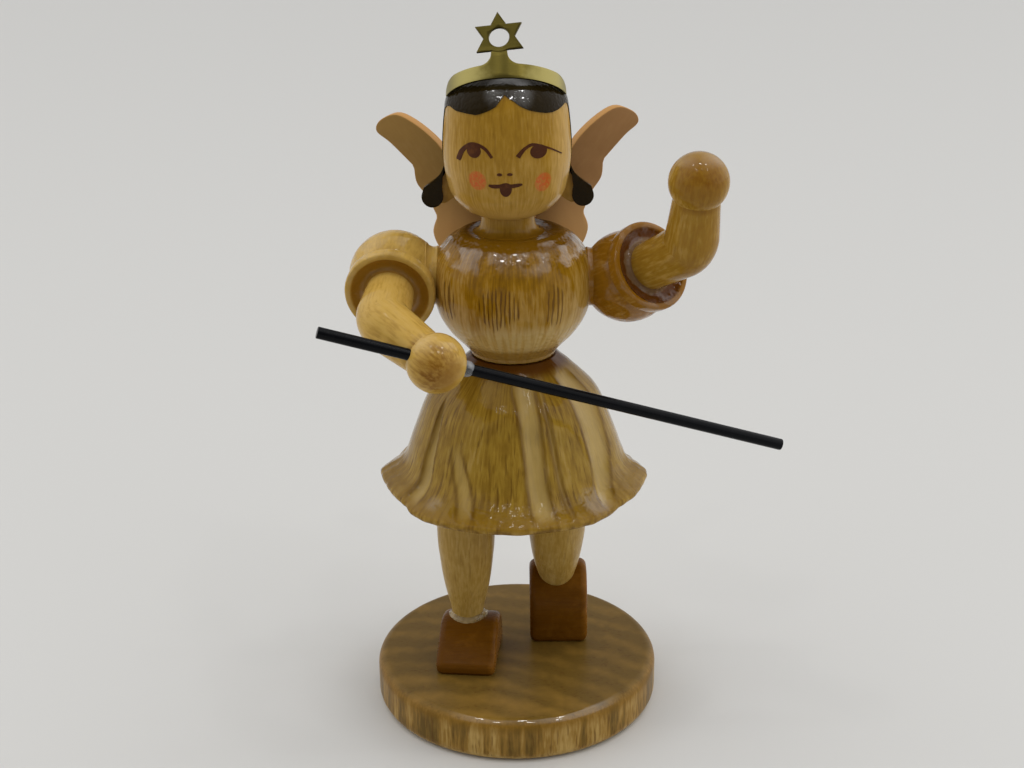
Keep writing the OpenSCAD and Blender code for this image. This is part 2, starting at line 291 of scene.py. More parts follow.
class Graph:
    """The nodes of one material or of the world."""

    def __init__(self, tree: bpy.types.NodeTree) -> None:
        """Starts with an empty tree."""
        self.tree = tree
        tree.nodes.clear()

    @cached_property
    def place(self) -> Socket:
        """The place on the piece, in millimetres."""
        return self.vector("SCALE", self.node("ShaderNodeTexCoord").outputs["Object"], scale=1 / MM)

    @cached_property
    def normal(self) -> Socket:
        """The way that the surface faces."""
        return self.node("ShaderNodeTexCoord").outputs["Normal"]

    def node(self, kind: str, settings: dict | None = None, sockets: dict | None = None) -> bpy.types.Node:
        """Adds a node.

        Args:
            kind: The node's type.
            settings: Its properties, set first; stops are a ramp's places and colours.
            sockets: Values or links by the input's name or number.

        Returns:
            The node.
        """
        made = self.tree.nodes.new(kind)
        for name, value in (settings or {}).items():
            if name == "stops":
                self.set_stops(made.color_ramp.elements, value)
            else:
                setattr(made, name, value)
        for name, value in (sockets or {}).items():
            if isinstance(value, Value):
                value = value.socket
            if isinstance(value, Socket):
                self.tree.links.new(value, made.inputs[name])
            else:
                made.inputs[name].default_value = value
        return made

    @staticmethod
    def set_stops(elements: bpy.types.ColorRampElements, stops: Sequence[tuple[float, Colour]]) -> None:
        """Gives a ramp its stops.

        Args:
            elements: The ramp's own stops.
            stops: Places and colours.
        """
        while len(elements) < len(stops):
            elements.new(1.0)
        for element, (place, colour) in zip(elements, stops):
            element.position = place
            element.color = colour

    def vector(self, operation: str, first: object, second: object = (0, 0, 0),
               scale: Value | float = 1.0) -> Socket:
        """Adds a Vector Math node that gives a vector.

        Args:
            operation: What the node does.
            first: A vector or its socket.
            second: Another, where the operation takes two.
            scale: The factor of a scaling.

        Returns:
            The vector's socket.
        """
        sockets = {0: first, "Scale": scale} if operation == "SCALE" else {0: first, 1: second}
        return self.node("ShaderNodeVectorMath", {"operation": operation}, sockets).outputs["Vector"]

    def reading(self, operation: str, first: object, second: object = (0, 0, 0)) -> Value:
        """Adds a Vector Math node that gives a number.

        Args:
            operation: What the node does.
            first: A vector or its socket.
            second: Another, where the operation takes two.

        Returns:
            The number.
        """
        sockets = {0: first} if operation == "LENGTH" else {0: first, 1: second}
        made = self.node("ShaderNodeVectorMath", {"operation": operation}, sockets)
        return Value(self, made.outputs["Value"])

    def height(self) -> Value:
        """Gives how high the place is."""
        return self.reading("DOT_PRODUCT", self.place, UP)

    def plan(self) -> Socket:
        """Gives the place without its height."""
        return self.vector("MULTIPLY", self.place, (1, 1, 0))

    def distance(self, spot: Sequence[float]) -> Value:
        """Gives how far the place is from a spot."""
        return self.reading("DISTANCE", self.place, spot)

    def facing(self, way: Sequence[float]) -> Value:
        """Gives how much the surface faces a way, from -1 to 1."""
        return self.reading("DOT_PRODUCT", self.normal, way)

    def noise(self, scale: float, detail: float = 2.0, roughness: float = 0.5,
              at: Socket | None = None) -> Value:
        """Gives a cloudy number between 0 and 1, mostly near a half.

        Args:
            scale: How many clouds there are in a millimetre.
            detail: How many finer layers lie over them.
            roughness: How strong the finer layers are.
            at: Where to read the clouds, if not at the place on the piece.

        Returns:
            The number.
        """
        made = self.node("ShaderNodeTexNoise", {}, {
            "Vector": self.place if at is None else at,
            "Scale": scale, "Detail": detail, "Roughness": roughness})
        return Value(self, made.outputs[0])

    def ramp(self, value: Value, stops: Sequence[tuple[float, Colour]]) -> Socket:
        """Gives the colour of a number between a ramp's stops."""
        return self.node("ShaderNodeValToRGB", {"stops": stops}, {"Fac": value}).outputs["Color"]

    def mix(self, share: Value, first: object, second: object) -> Socket:
        """Mixes two colours."""
        return self.node("ShaderNodeMix", {"data_type": "RGBA"}, {0: share, 6: first, 7: second}).outputs[2]

    def attribute(self, name: str) -> Value:
        """Reads a number that is kept on the mesh."""
        return Value(self, self.node("ShaderNodeAttribute", {"attribute_name": name}).outputs["Fac"])

    def relief(self, height: Value, depth: float) -> Socket:
        """Gives the normal of a surface whose height runs through depth millimetres."""
        made = self.node("ShaderNodeBump", {}, {"Height": height, "Strength": 1.0, "Distance": depth * MM})
        return made.outputs["Normal"]

    def surface(self, sockets: dict, wet: Value | None = None) -> None:
        """Ends the tree with a surface shader.

        Args:
            sockets: The shader's values and links.
            wet: How thick clear lacquer stands over it, from 0 to 1.
        """
        shader = self.node("ShaderNodeBsdfPrincipled", {}, sockets).outputs[0]
        if wet is not None:
            lacquer = self.node("ShaderNodeBsdfPrincipled", {}, {**sockets, **THICK_LACQUER})
            shares = {0: wet, 1: shader, 2: lacquer.outputs[0]}
            shader = self.node("ShaderNodeMixShader", {}, shares).outputs[0]
        self.node("ShaderNodeOutputMaterial", {}, {"Surface": shader})


class Finish:
    """A finish that makes its own material."""

    name: str

    def material(self) -> bpy.types.Material:
        """Gives a new material with this finish.

        Returns:
            The material.
        """
        made = bpy.data.materials.new(self.name)
        made.use_nodes = True
        self.paint(Graph(made.node_tree))
        return made

    def paint(self, graph: Graph) -> None:
        """Adds the finish's nodes to an empty tree."""
        raise NotImplementedError

    def pooled(self, graph: Graph) -> Value | None:
        """Gives how thick clear lacquer stands at the place, from 0 to 1, where it does."""
        return None


@dataclass(frozen=True)
class Plain(Finish):
    """One even colour, for the floor."""

    name: str
    colour: Colour
    roughness: float

    def paint(self, graph: Graph) -> None:
        """Adds the shader."""
        graph.surface({"Base Color": self.colour, "Roughness": self.roughness})


@dataclass(frozen=True)
class Wood(Finish):
    """Clear-lacquered turned wood. Its tone follows how the fibres meet the surface."""

    name: str
    grain: Vector
    pale: Colour = srgb(184, 148, 80)
    body: Colour = srgb(150, 110, 36)
    deep: Colour = srgb(112, 76, 16)
    pore: Colour = srgb(84, 52, 12)
    ends: float = 0.5
    streaks: float = 0.15
    streak_scale: float = 4.2
    streak_stretch: float = 7.0
    figure: float = 0.25
    figure_scale: float = 0.8
    cloud: float = 0.3
    cloud_scale: float = 0.28
    mottle: float = 0.25
    mottle_scale: float = 1.3
    pores: float = 0.2
    pore_scale: float = 4.5
    pore_stretch: float = 10.0
    gloss: float = 0.2
    ior: float = 1.25
    ripples: float = 0.02
    ripple_scale: float = 1.1
    sparkle: float = 0.5
    sparkle_scale: float = 3.0
    seed: float = 0.0

    def strands(self, graph: Graph, stretch: float) -> Socket:
        """Draws the place together along the fibres, so that noise on it runs with them.

        Args:
            graph: The material's nodes.
            stretch: How many times longer than wide the marks are.

        Returns:
            The drawn place.
        """
        along = graph.reading("DOT_PRODUCT", graph.place, self.grain)
        drawn = graph.vector("SCALE", tuple(self.grain), scale=along * (1 / stretch - 1))
        start = graph.vector("ADD", graph.place, (self.seed, -2.3 * self.seed, 0.7 * self.seed))
        return graph.vector("ADD", start, drawn)

    def paint(self, graph: Graph) -> None:
        """Adds the wood's nodes.

        Args:
            graph: The material's empty tree.
        """
        facing = graph.facing(self.grain)
        steep = facing.size()
        long_grain = steep.rise(0.95, 0.6)
        lines = graph.noise(self.streak_scale, at=self.strands(graph, self.streak_stretch)).rise(0.3, 0.7)
        bands = graph.noise(self.figure_scale, at=self.strands(graph, 2 * self.streak_stretch))
        marks = ((lines - 0.5) * self.streaks + (bands - 0.5) * self.figure) * long_grain
        marks = marks + (graph.noise(self.cloud_scale) - 0.5) * self.cloud
        marks = marks + (graph.noise(self.mottle_scale, 3.0) - 0.5) * self.mottle
        # Darker where the surface faces along the grain, as end grain is; paler where it faces back against
        # it, which on the upright pieces is a painted reflection of the pale floor on their undersides.
        tone = self.toned(graph, facing * self.ends + 0.5 + marks)
        colour = graph.ramp(tone, [(0.05, self.pale), (0.5, self.body), (0.95, self.deep)])
        dashes = graph.noise(self.pore_scale, at=self.strands(graph, self.pore_stretch)).rise(0.57, 0.7)
        dashes = dashes * long_grain
        colour = self.tinted(graph, graph.mix(dashes * self.pores, colour, self.pore))
        shoulder = steep.rise(0.2, 0.7) * steep.rise(1.0, 0.8)
        peel = graph.noise(self.ripple_scale, 1.0)
        peel = peel + graph.noise(self.sparkle_scale, 0.0) * shoulder * self.sparkle
        peel = peel * self.swell(graph) + lines * 0.05 - dashes * 0.1
        graph.surface({
            "Base Color": colour, "Roughness": self.gloss + (lines - 0.5) * 0.06, "IOR": self.ior,
            "Normal": graph.relief(peel, self.ripples)}, self.pooled(graph))

    def swell(self, graph: Graph) -> Value | float:
        """Gives how much the lacquer's ripples swell at the place."""
        return 1.0

    def toned(self, graph: Graph, tone: Value) -> Value:
        """Changes the tone where a piece has marks of its own."""
        return tone

    def tinted(self, graph: Graph, colour: Socket) -> Socket:
        """Changes the colour where a piece has marks of its own."""
        return colour


@dataclass(frozen=True)
class BarrelWood(Wood):
    """Wood of a piece turned about an upright axis, with its marks drawn along the outline."""

    axis: Triple = (0.0, -0.85, 0.0)
    girth: float = 7.0

    def strands(self, graph: Graph, stretch: float) -> Socket:
        """Draws the place onto a drum about the axis, and together along it.

        Args:
            graph: The material's nodes.
            stretch: How many times longer than wide the marks are.

        Returns:
            The drawn place.
        """
        flat = graph.vector("MULTIPLY", graph.vector("SUBTRACT", graph.place, self.axis), (1, 1, 0))
        drum = graph.vector("SCALE", graph.vector("NORMALIZE", flat), scale=self.girth)
        start = graph.vector("ADD", drum, (self.seed, -2.3 * self.seed, 0))
        return graph.vector("ADD", start, graph.vector("MULTIPLY", graph.place, (0, 0, 1 / stretch)))


@dataclass(frozen=True)
class BaseWood(Wood):
    """The base's wood, with year rings across its top."""

    pith: Triple = (-9.0, -34.0, 0.0)
    ring_pace: float = 2.2
    ring_wander: float = 3.0
    young: Pair = (30.0, 23.0)
    rim: Colour = srgb(126, 90, 24)
    rim_z: float = 4.3
    front: Triple = (2.0, -13.0, 4.0)
    front_reach: Pair = (9.0, 5.0)

    def rings(self, graph: Graph) -> Value:
        """Gives the year rings' wave."""
        wander = (graph.noise(0.25, at=graph.plan()) - 0.5) * self.ring_wander
        return ((graph.reading("DISTANCE", graph.plan(), self.pith) + wander) * self.ring_pace).wave()

    def toned(self, graph: Graph, tone: Value) -> Value:
        """Adds the year rings on top and the streaks round the side.

        Args:
            graph: The material's nodes.
            tone: The tone so far.

        Returns:
            The new tone.
        """
        side = graph.facing(UP).size().rise(0.7, 0.2)
        streaks = graph.noise(0.6, 3.0, at=self.strands(graph, 14.0)).rise(0.4, 0.6) - 0.2
        young = graph.reading("DISTANCE", graph.plan(), self.pith).rise(*self.young)
        return tone + self.rings(graph) * 0.08 - young * 0.13 + streaks * side * 0.6

    def pooled(self, graph: Graph) -> Value:
        """Lets the lacquer stand thick on the front of the rounded edge."""
        up = graph.facing(UP)
        return up.rise(0.5, 0.65) * up.rise(0.995, 0.93) * graph.distance(self.front).rise(*self.front_reach)

    def tinted(self, graph: Graph, colour: Socket) -> Socket:
        """Adds the golden upper edge and the rows of pores on top.

        Args:
            graph: The material's nodes.
            colour: The colour so far.

        Returns:
            The new colour.
        """
        top = graph.facing(UP).rise(0.5, 0.95)
        edge = graph.height().rise(self.rim_z - 1.7, self.rim_z - 0.5) * (1 - top)
        colour = graph.mix(edge * 0.6, colour, self.rim)
        rows = graph.vector("MULTIPLY", graph.place, (2.2, 4.5, 1))
        specks = graph.noise(1.0, at=rows).rise(0.56, 0.68) * top * self.rings(graph).rise(-0.2, 0.9)
        return graph.mix(specks * 0.4, colour, self.pore)


@dataclass(frozen=True)
class SkirtWood(BarrelWood):
    """The skirt's wood: painted sheen in the flutes and shade on their edges, amber hem, dark waist."""

    flute_sheen: Colour = srgb(184, 157, 96)
    amber: Colour = srgb(136, 98, 30)
    waist: Colour = srgb(84, 44, 10)
    hem_z: float = 22.7
    waist_z: float = 35.25
    drops: tuple[tuple[Triple, float], ...] = (
        ((6.7, -9.2, 23.8), 2.0), ((-6.8, -9.2, 23.5), 1.4), ((-0.4, -11.5, 23.5), 1.2),
        ((3.6, -10.9, 23.5), 1.2))

    def tinted(self, graph: Graph, colour: Socket) -> Socket:
        """Adds painted sheen and shade over the flutes, hem and waist, and the pooled lacquer.

        Args:
            graph: The material's nodes.
            colour: The colour so far.

        Returns:
            The new colour.
        """
        height = graph.height()
        # painted sheen of the lacquer in the flutes
        colour = graph.mix(graph.attribute("flute") * 0.7, colour, self.flute_sheen)
        # painted shade along the flutes' edges
        colour = graph.mix(graph.attribute("edge") * 0.5, colour, self.pore)
        colour = graph.mix(height.rise(self.hem_z + 1.6, self.hem_z + 0.5) * 0.3, colour, self.amber)
        # painted shade under the lip, made ragged
        ragged_lip_shade = graph.noise(1.1).rise(0.42, 0.62) * height.rise(self.hem_z + 0.8, self.hem_z + 0.3)
        colour = graph.mix(ragged_lip_shade * 0.6, colour, self.pore)
        # dark at the waist: end grain, with painted shade under the torso
        return graph.mix(height.rise(self.waist_z - 1.3, self.waist_z - 0.4) * 0.9, colour, self.waist)

    def pooled(self, graph: Graph) -> Value:
        """Lets the lacquer stand in drops along the hem."""
        drops = [graph.distance(middle).rise(reach, 0.5 * reach) for middle, reach in self.drops]
        return sum(drops[1:], drops[0]) * 0.7

    def swell(self, graph: Graph) -> Value:
        """Roughens the lacquer near the hem, most in the drops."""
        low = graph.height().rise(self.hem_z + 3.4, self.hem_z + 1.4)
        return 1 + low * 3 + self.pooled(graph) * 4


@dataclass(frozen=True)
class TorsoWood(BarrelWood):
    """The torso's wood: painted floor reflection round the foot, with open pores in dark dashes over the
    belly.
    """

    patches: tuple[tuple[Triple, Triple, float], ...] = (
        ((-1.2, -7.8, 41.4), (0.5, 0.25, 0.52), 0.8), ((-5.7, -5.1, 41.2), (1.0, 0.8, 0.5), 0.7),
        ((3.7, -7.0, 41.4), (1.0, 0.6, 0.5), 0.7))
    bare: Colour = srgb(190, 162, 104)
    ring: Colour = srgb(136, 98, 28)
    foot_z: float = 35.25

    def toned(self, graph: Graph, tone: Value) -> Value:
        """Paints a reflection on the sides and darkens the top: end grain, with painted shade under the chin.
        """
        side = graph.facing(ACROSS).size().rise(0.4, 0.9)
        # painted reflection on the sides; painted shade under the chin over the top's end grain
        return tone - side * 0.28 + graph.facing(UP).rise(0.75, 0.95) * 0.25

    def pooled(self, graph: Graph) -> Value:
        """Lets the lacquer stand thick in places on the shoulders."""
        up = graph.facing(UP)
        return graph.noise(0.6, 1.0).rise(0.45, 0.55) * up.rise(0.25, 0.5) * up.rise(0.95, 0.8)

    def tinted(self, graph: Graph, colour: Socket) -> Socket:
        """Adds the foot's ring, a painted floor reflection in pale streaks over it, and the dark line
        patches.

        Args:
            graph: The material's nodes.
            colour: The colour so far.

        Returns:
            The new colour.
        """
        height = graph.height()
        long_strands, short_strands = (self.strands(graph, stretch) for stretch in (9.0, 5.0))
        streaks = graph.noise(2.4, at=long_strands).rise(0.4, 0.62)
        low = height.rise(self.foot_z + 6.4, self.foot_z + 3.6)
        band = height.rise(self.foot_z + 4.8, self.foot_z + 3.4)
        # painted reflection of the pale floor, broken up by the grain's streaks
        colour = graph.mix(streaks * low * 0.55 + band * 0.4, colour, self.bare)
        colour = graph.mix(height.rise(self.foot_z + 2.0, self.foot_z + 1.3) * 0.8, colour, self.ring)
        across = graph.reading("DOT_PRODUCT", long_strands, ACROSS)
        lines = (across * 17 + graph.noise(1.6, at=short_strands) * 7).wave().rise(0.1, 0.8)
        ragged = (graph.noise(3.5, 1.0, at=short_strands) - 0.5) * 0.9
        for middle, scale, share in self.patches:
            near = graph.vector("MULTIPLY", graph.vector("SUBTRACT", graph.place, middle), scale)
            inside = (graph.reading("LENGTH", near) + ragged).rise(1.05, 0.8)
            colour = graph.mix(lines * inside * share, colour, self.pore)
        return colour


@dataclass(frozen=True)
class HeadWood(BarrelWood):
    """The head's wood, with stippled cheeks."""

    cheeks: tuple[Vector, ...] = ()
    blush: Colour = srgb(196, 84, 40)
    cheek_r: float = 0.85

    def toned(self, graph: Graph, tone: Value) -> Value:
        """Paints a reflection on the sides, and more light on the figure's left."""
        side = graph.facing(ACROSS)
        # painted reflection on both sides, and painted light from the figure's left
        return tone - side.size().rise(0.55, 1.0) * 0.3 - side.rise(0.35, 0.9) * 0.14

    def tinted(self, graph: Graph, colour: Socket) -> Socket:
        """Adds the cheeks.

        Args:
            graph: The material's nodes.
            colour: The colour so far.

        Returns:
            The new colour.
        """
        stipple = graph.noise(4.2, 3.0, 0.7)
        for cheek in self.cheeks:
            edge = graph.distance(cheek) + (stipple - 0.5) * 0.5
            dab = edge.rise(self.cheek_r + 0.08, self.cheek_r - 0.12)
            colour = graph.mix(dab * (0.4 + stipple.rise(0.4, 0.6) * 0.45), colour, self.blush)
        return colour


@dataclass(frozen=True)
class CuffWood(Wood):
    """A sleeve's wood, darker in the bowl of its cuff."""

    middle: Vector = Vector()
    bowl: Colour = srgb(136, 94, 32)
    glue: Colour = srgb(150, 130, 96)
    bowl_r: float = 3.4
    bowl_h: float = 2.6
    glue_r: float = 2.55
    film: float = 0.1

    def pooled(self, graph: Graph) -> Value:
        """Lets the lacquer stand thick in places."""
        return graph.noise(0.7, 1.0).rise(0.48, 0.56) * 0.4

    def tinted(self, graph: Graph, colour: Socket) -> Socket:
        """Darkens the bowl and adds the film of glue in it.

        Args:
            graph: The material's nodes.
            colour: The colour so far.

        Returns:
            The new colour.
        """
        off = graph.vector("SUBTRACT", graph.place, self.middle)
        along = graph.reading("DOT_PRODUCT", off, self.grain)
        apart = graph.vector("SUBTRACT", off, graph.vector("SCALE", tuple(self.grain), scale=along))
        out = graph.reading("LENGTH", apart)
        front = along.rise(self.bowl_h - 0.2, self.bowl_h)
        colour = graph.mix(out.rise(self.bowl_r + 0.15, self.bowl_r - 0.1) * front, colour, self.bowl)
        film = (out + (graph.noise(0.8) - 0.5) * 1.2).rise(self.glue_r + 0.1, self.glue_r - 0.1)
        return graph.mix(film * front * self.film, colour, self.glue)


@dataclass(frozen=True)
class HandWood(Wood):
    """A forearm's wood, with painted shade on the front of the hand's ball."""

    middle: Vector = Vector()
    reach: float = 3.0
    # the way that the ball's painted shade faces
    front: Triple = (0.05, -0.96, 0.1)

    def ball(self, graph: Graph) -> Value:
        """Gives 1 on the hand's ball and 0 on the arm."""
        return graph.distance(self.middle).rise(self.reach, self.reach - 0.4)

    def pooled(self, graph: Graph) -> Value:
        """Lets the lacquer stand thick on top of the ball."""
        return self.ball(graph) * graph.facing(UP).rise(0.5, 0.8) * 0.5

    def toned(self, graph: Graph, tone: Value) -> Value:
        """Paints shade where the ball faces forward, and light over the rest of the ball."""
        # painted shade on the forward face of the ball, painted light on the rest
        return tone + self.ball(graph) * (graph.facing(self.front).rise(0.1, 1.05) * 0.42 - 0.12)


@dataclass(frozen=True)
class WingWood(Wood):
    """The wings' wood, lighter on its sawn edges than on its faces."""

    plate: Vector = BACK
    sawn: Colour = srgb(190, 140, 78)
    foot: Colour = srgb(202, 160, 104)
    foot_z: float = 42.0

    def tinted(self, graph: Graph, colour: Socket) -> Socket:
        """Paints light on the foot, where the torso and head shade it, and lightens the sawn edges."""
        # painted light that offsets the shade of the torso and head on the wings' foot
        colour = graph.mix(graph.height().rise(self.foot_z + 8, self.foot_z + 3) * 0.8, colour, self.foot)
        return graph.mix(graph.facing(self.plate).size().rise(0.9, 0.5), colour, self.sawn)


@dataclass(frozen=True)
class Paint(Finish):
    """Brushed paint: one colour, worn through a little, with brush ripples under the gloss."""

    name: str
    colour: Colour
    thin: Colour
    roughness: float = 0.25
    thinness: float = 0.3
    ripples: float = 0.02
    ripple_scale: float = 3.0
    ior: float = 1.4
    shine: Vector | None = None
    shine_r: float = 2.4

    def paint(self, graph: Graph) -> None:
        """Adds the paint's nodes.

        Args:
            graph: The material's empty tree.
        """
        cover = graph.noise(1.4, 3.0, 0.6).rise(0.45, 0.75) * self.thinness
        graph.surface({
            "Base Color": graph.mix(cover, self.colour, self.thin),
            "Roughness": self.roughness + (cover - 0.5 * self.thinness) * 0.1, "IOR": self.ior,
            "Normal": graph.relief(graph.noise(self.ripple_scale, 1.0), self.ripples)}, self.pooled(graph))

    def pooled(self, graph: Graph) -> Value | None:
        """Lets the lacquer stand thick where the paint shines, if it does.

        Args:
            graph: The material's nodes.

        Returns:
            How thick it stands, from 0 to 1.
        """
        if self.shine is None:
            return None
        return graph.distance(self.shine).rise(self.shine_r, self.shine_r * 0.5)


@dataclass(frozen=True)
class Brass(Finish):
    """Thin pressed brass, with a painted dark reflection on its front and star and a bright one on its sides.
    """

    name: str = "pressed_brass"
    lit_side_brass: Colour = srgb(150, 139, 84)
    shaded_front_brass: Colour = srgb(100, 89, 41)
    shaded_star_brass: Colour = srgb(62, 55, 22)
    star_z: float = 62.4
    ripples: float = 0.004

    def paint(self, graph: Graph) -> None:
        """Adds the brass's nodes.

        Args:
            graph: The material's empty tree.
        """
        tarnish = graph.noise(0.9, 4.0, 0.6)
        rolled = graph.noise(1.5, at=graph.vector("MULTIPLY", graph.place, (0.6, 0.6, 9.0)))
        # painted reflection: dark where the brass faces forward, bright on the sides, broken by tarnish
        side = graph.facing(ACROSS).size() + (tarnish - 0.5) * 0.5
        colour = graph.mix(side.rise(0.15, 0.6), self.shaded_front_brass, self.lit_side_brass)
        # painted darker reflection on the star
        star = graph.height().rise(self.star_z, self.star_z + 0.8)
        graph.surface({
            "Base Color": graph.mix(star * 0.7, colour, self.shaded_star_brass), "Metallic": 1.0,
            "Roughness": 0.24 + tarnish * 0.14, "Normal": graph.relief(rolled, self.ripples)})


@dataclass(frozen=True)
class Glue(Finish):
    """Set glue, half clear, so that its thin parts let some of what is under it through."""

    name: str
    clear: Colour
    milky: Colour
    cover: float
    ripples: float = 0.02

    def paint(self, graph: Graph) -> None:
        """Adds the glue's nodes.

        Args:
            graph: The material's empty tree.
        """
        cloud = graph.noise(1.2, 1.0).rise(0.3, 0.7)
        graph.surface({
            "Base Color": graph.mix(cloud, self.clear, self.milky),
            "Roughness": 0.12 + cloud * 0.1, "Alpha": self.cover + (cloud - 0.5) * 0.3,
            "Normal": graph.relief(graph.noise(2.0), self.ripples)})


class Work:
    """One piece on the bench, shaped by Blender's operators."""

    def __init__(self, name: str) -> None:
        """Starts a piece from a small plane.

        Args:
            name: Name of the piece and of its mesh.
        """
        bpy.ops.object.select_all(action="DESELECT")
        bpy.ops.mesh.primitive_plane_add(size=MM)
        self.object = bpy.context.object
        self.object.name = name
        self.object.data.name = name

    def alone(self) -> None:
        """Selects only this piece."""
        bpy.ops.object.select_all(action="DESELECT")
        self.object.select_set(True)
        bpy.context.view_layer.objects.active = self.object

    @contextmanager
    def editing(self) -> Iterator[None]:
        """Opens the piece in edit mode with all of it selected, and closes it again."""
        self.alone()
        bpy.ops.object.mode_set(mode="EDIT")
        bpy.ops.mesh.select_all(action="SELECT")
        yield
        bpy.ops.object.mode_set(mode="OBJECT")

    def draw(self, points: Sequence[Sequence[float]]) -> Work:
        """Draws a line from point to point in place of the plane.

        Args:
            points: Places in millimetres.

        Returns:
            The piece.
        """
        places = [Vector(point) * MM for point in points]
        with self.editing():
            bpy.ops.mesh.merge(type="CENTER")
            bpy.ops.transform.translate(value=places[0])
            for here, there in zip(places, places[1:]):
                bpy.ops.mesh.extrude_region_move(TRANSFORM_OT_translate={"value": there - here})
        return self

    def turn(self, outline: Sequence[Sequence[float]], steps: int = TURNS) -> Work:
        """Turns an outline about +Z, as on a lathe.

        Args:
            outline: Radius and height of each point, both ends on the axis for a solid.
            steps: Facets round the piece.

        Returns:
            The piece.
        """
        self.draw([(radius, 0, height) for radius, height in outline])
        with self.editing():
            bpy.ops.mesh.spin(steps=steps, angle=math.tau, center=(0, 0, 0), axis=(0, 0, 1))
        return self.clean()

    def saw(self, outline: Sequence[Sequence[float]], thickness: Vector) -> Work:
        """Saws a flat outline from a board.

        Args:
            outline: Places round the outline, in millimetres.
            thickness: From one face of the board to the other.

        Returns:
            The piece.
        """
        self.draw(outline)
        with self.editing():
            bpy.ops.mesh.edge_face_add()
            bpy.ops.mesh.extrude_region_move(TRANSFORM_OT_translate={"value": thickness * MM})
        return self.clean()

    def mould(self, outline: Sequence[Pair], width: float, soft: float) -> Work:
        """Shapes a bar along X with the same outline all along and soft ends.

        Args:
            outline: Places round the outline, across Y and Z.
            width: Length of the bar.
            soft: Radius of the rounding at its ends.

        Returns:
            The piece.
        """
        ring = [Vector(point) for point in outline]
        middle = sum(ring, Vector((0, 0))) / len(ring)
        curve = arc((soft - width / 2, soft), soft, 180, 270, 6)
        rows = [(-width / 2, 1.0), *curve, *((-x, inset) for x, inset in reversed(curve)), (width / 2, 1.0)]

        def surface(u: float, v: float) -> Vector:
            """Gives a place on the bar, with both end rows drawn to a point.

            Args:
                u: Share of the way round the outline.
                v: Share of the way along the bar.

            Returns:
                The place.
            """
            at, row = round(u * len(ring)) % len(ring), round(v * (len(rows) - 1))
            x, inset = rows[row]
            inward = (middle - ring[at]).normalized()
            spot = middle if row in (0, len(rows) - 1) else ring[at] + inward * inset
            return Vector((x, spot.x, spot.y))

        return self.wrap(len(ring), len(rows) - 1, surface)

    def wrap(self, columns: int, rows: int, surface: Callable[[float, float], Vector]) -> Work:
        """Lays a grid over a surface in place of the plane.

        Args:
            columns: Faces along the grid.
            rows: Faces across it.
            surface: Place of two shares from 0 to 1, in millimetres.

        Returns:
            The piece.
        """
        name = self.object.name
        self.alone()
        bpy.ops.object.delete()
        bpy.ops.mesh.primitive_grid_add(x_subdivisions=columns, y_subdivisions=rows, size=1)
        self.object = bpy.context.object
        self.object.name = name
        self.object.data.name = name
        for vertex in self.object.data.vertices:
            vertex.co = surface(vertex.co.x + 0.5, vertex.co.y + 0.5) * MM
        return self.clean()

    def clean(self) -> Work:
        """Merges doubles and turns the faces outwards.

        Returns:
            The piece.
        """
        with self.editing():
            bpy.ops.mesh.remove_doubles(threshold=DOUBLES * MM)
            bpy.ops.mesh.select_all(action="SELECT")
            bpy.ops.mesh.normals_make_consistent(inside=False)
        return self

    def put(self, matrix: Matrix) -> Work:
        """Moves the piece by a matrix in millimetres, into its mesh.

        Args:
            matrix: Where the piece goes.

        Returns:
            The piece.
        """
        moved = matrix.copy()
        moved.translation = matrix.translation * MM
        self.object.matrix_world = moved
        self.alone()
        bpy.ops.object.transform_apply(location=True, rotation=True, scale=True)
        return self.clean() if matrix.determinant() < 0 else self

    def cut(self, place: Vector, away: Vector) -> Work:
        """Saws off what lies past a place in a direction, and closes the cut.

        Args:
            place: A place on the cut, in millimetres.
            away: The direction of what goes.

        Returns:
            The piece.
        """
        with self.editing():
            bpy.ops.mesh.bisect(plane_co=place * MM, plane_no=away, use_fill=True, clear_outer=True)
        return self.clean()

    def shape(self, move: Callable[[Vector], Vector]) -> Work:
        """Carves the piece by moving its points, in millimetres.

        Args:
            move: Gives a point its new place.

        Returns:
            The piece.
        """
        for vertex in self.object.data.vertices:
            vertex.co = move(vertex.co / MM) * MM
        return self

    def modify(self, kind: str, **settings: object) -> Work:
        """Adds a modifier and applies it.

        Args:
            kind: The modifier's type.
            **settings: Its properties.

        Returns:
            The piece.
        """
        self.alone()
        made = self.object.modifiers.new(kind.lower(), kind)
        for name, value in settings.items():
            setattr(made, name, value)
        bpy.ops.object.modifier_apply(modifier=made.name)
        return self

    def round_over(self, width: float, steps: int = 4) -> Work:
        """Rounds the piece's sharp edges."""
        return self.modify("BEVEL", width=width * MM, segments=steps, limit_method="ANGLE",
                           angle_limit=SHARP, use_clamp_overlap=True)

    def thicken(self, thickness: float) -> Work:
        """Gives a surface a thickness on its outer side."""
        return self.modify("SOLIDIFY", thickness=thickness * MM, offset=1.0)

    def join(self, others: Sequence[Work]) -> Work:
        """Joins other pieces to this one.

        Args:
            others: The pieces to join.

        Returns:
            The piece.
        """
        self.alone()
        for other in others:
            other.object.select_set(True)
        bpy.ops.object.join()
        return self

    def hand_over(self, finish: Finish, slot: Slot, *nodes: str) -> None:
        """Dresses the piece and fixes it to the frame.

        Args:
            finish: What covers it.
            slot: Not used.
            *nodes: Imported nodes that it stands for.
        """
        self.alone()
        self.object.data.materials.clear()
        self.object.data.materials.append(finish.material())
        bpy.ops.object.shade_smooth_by_angle(angle=CREASE)
        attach(self.object, "root")
        if nodes:
            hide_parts(*nodes)
        LOG.info("%s: %d faces for %s", self.object.name, len(self.object.data.polygons), nodes or "a coat")


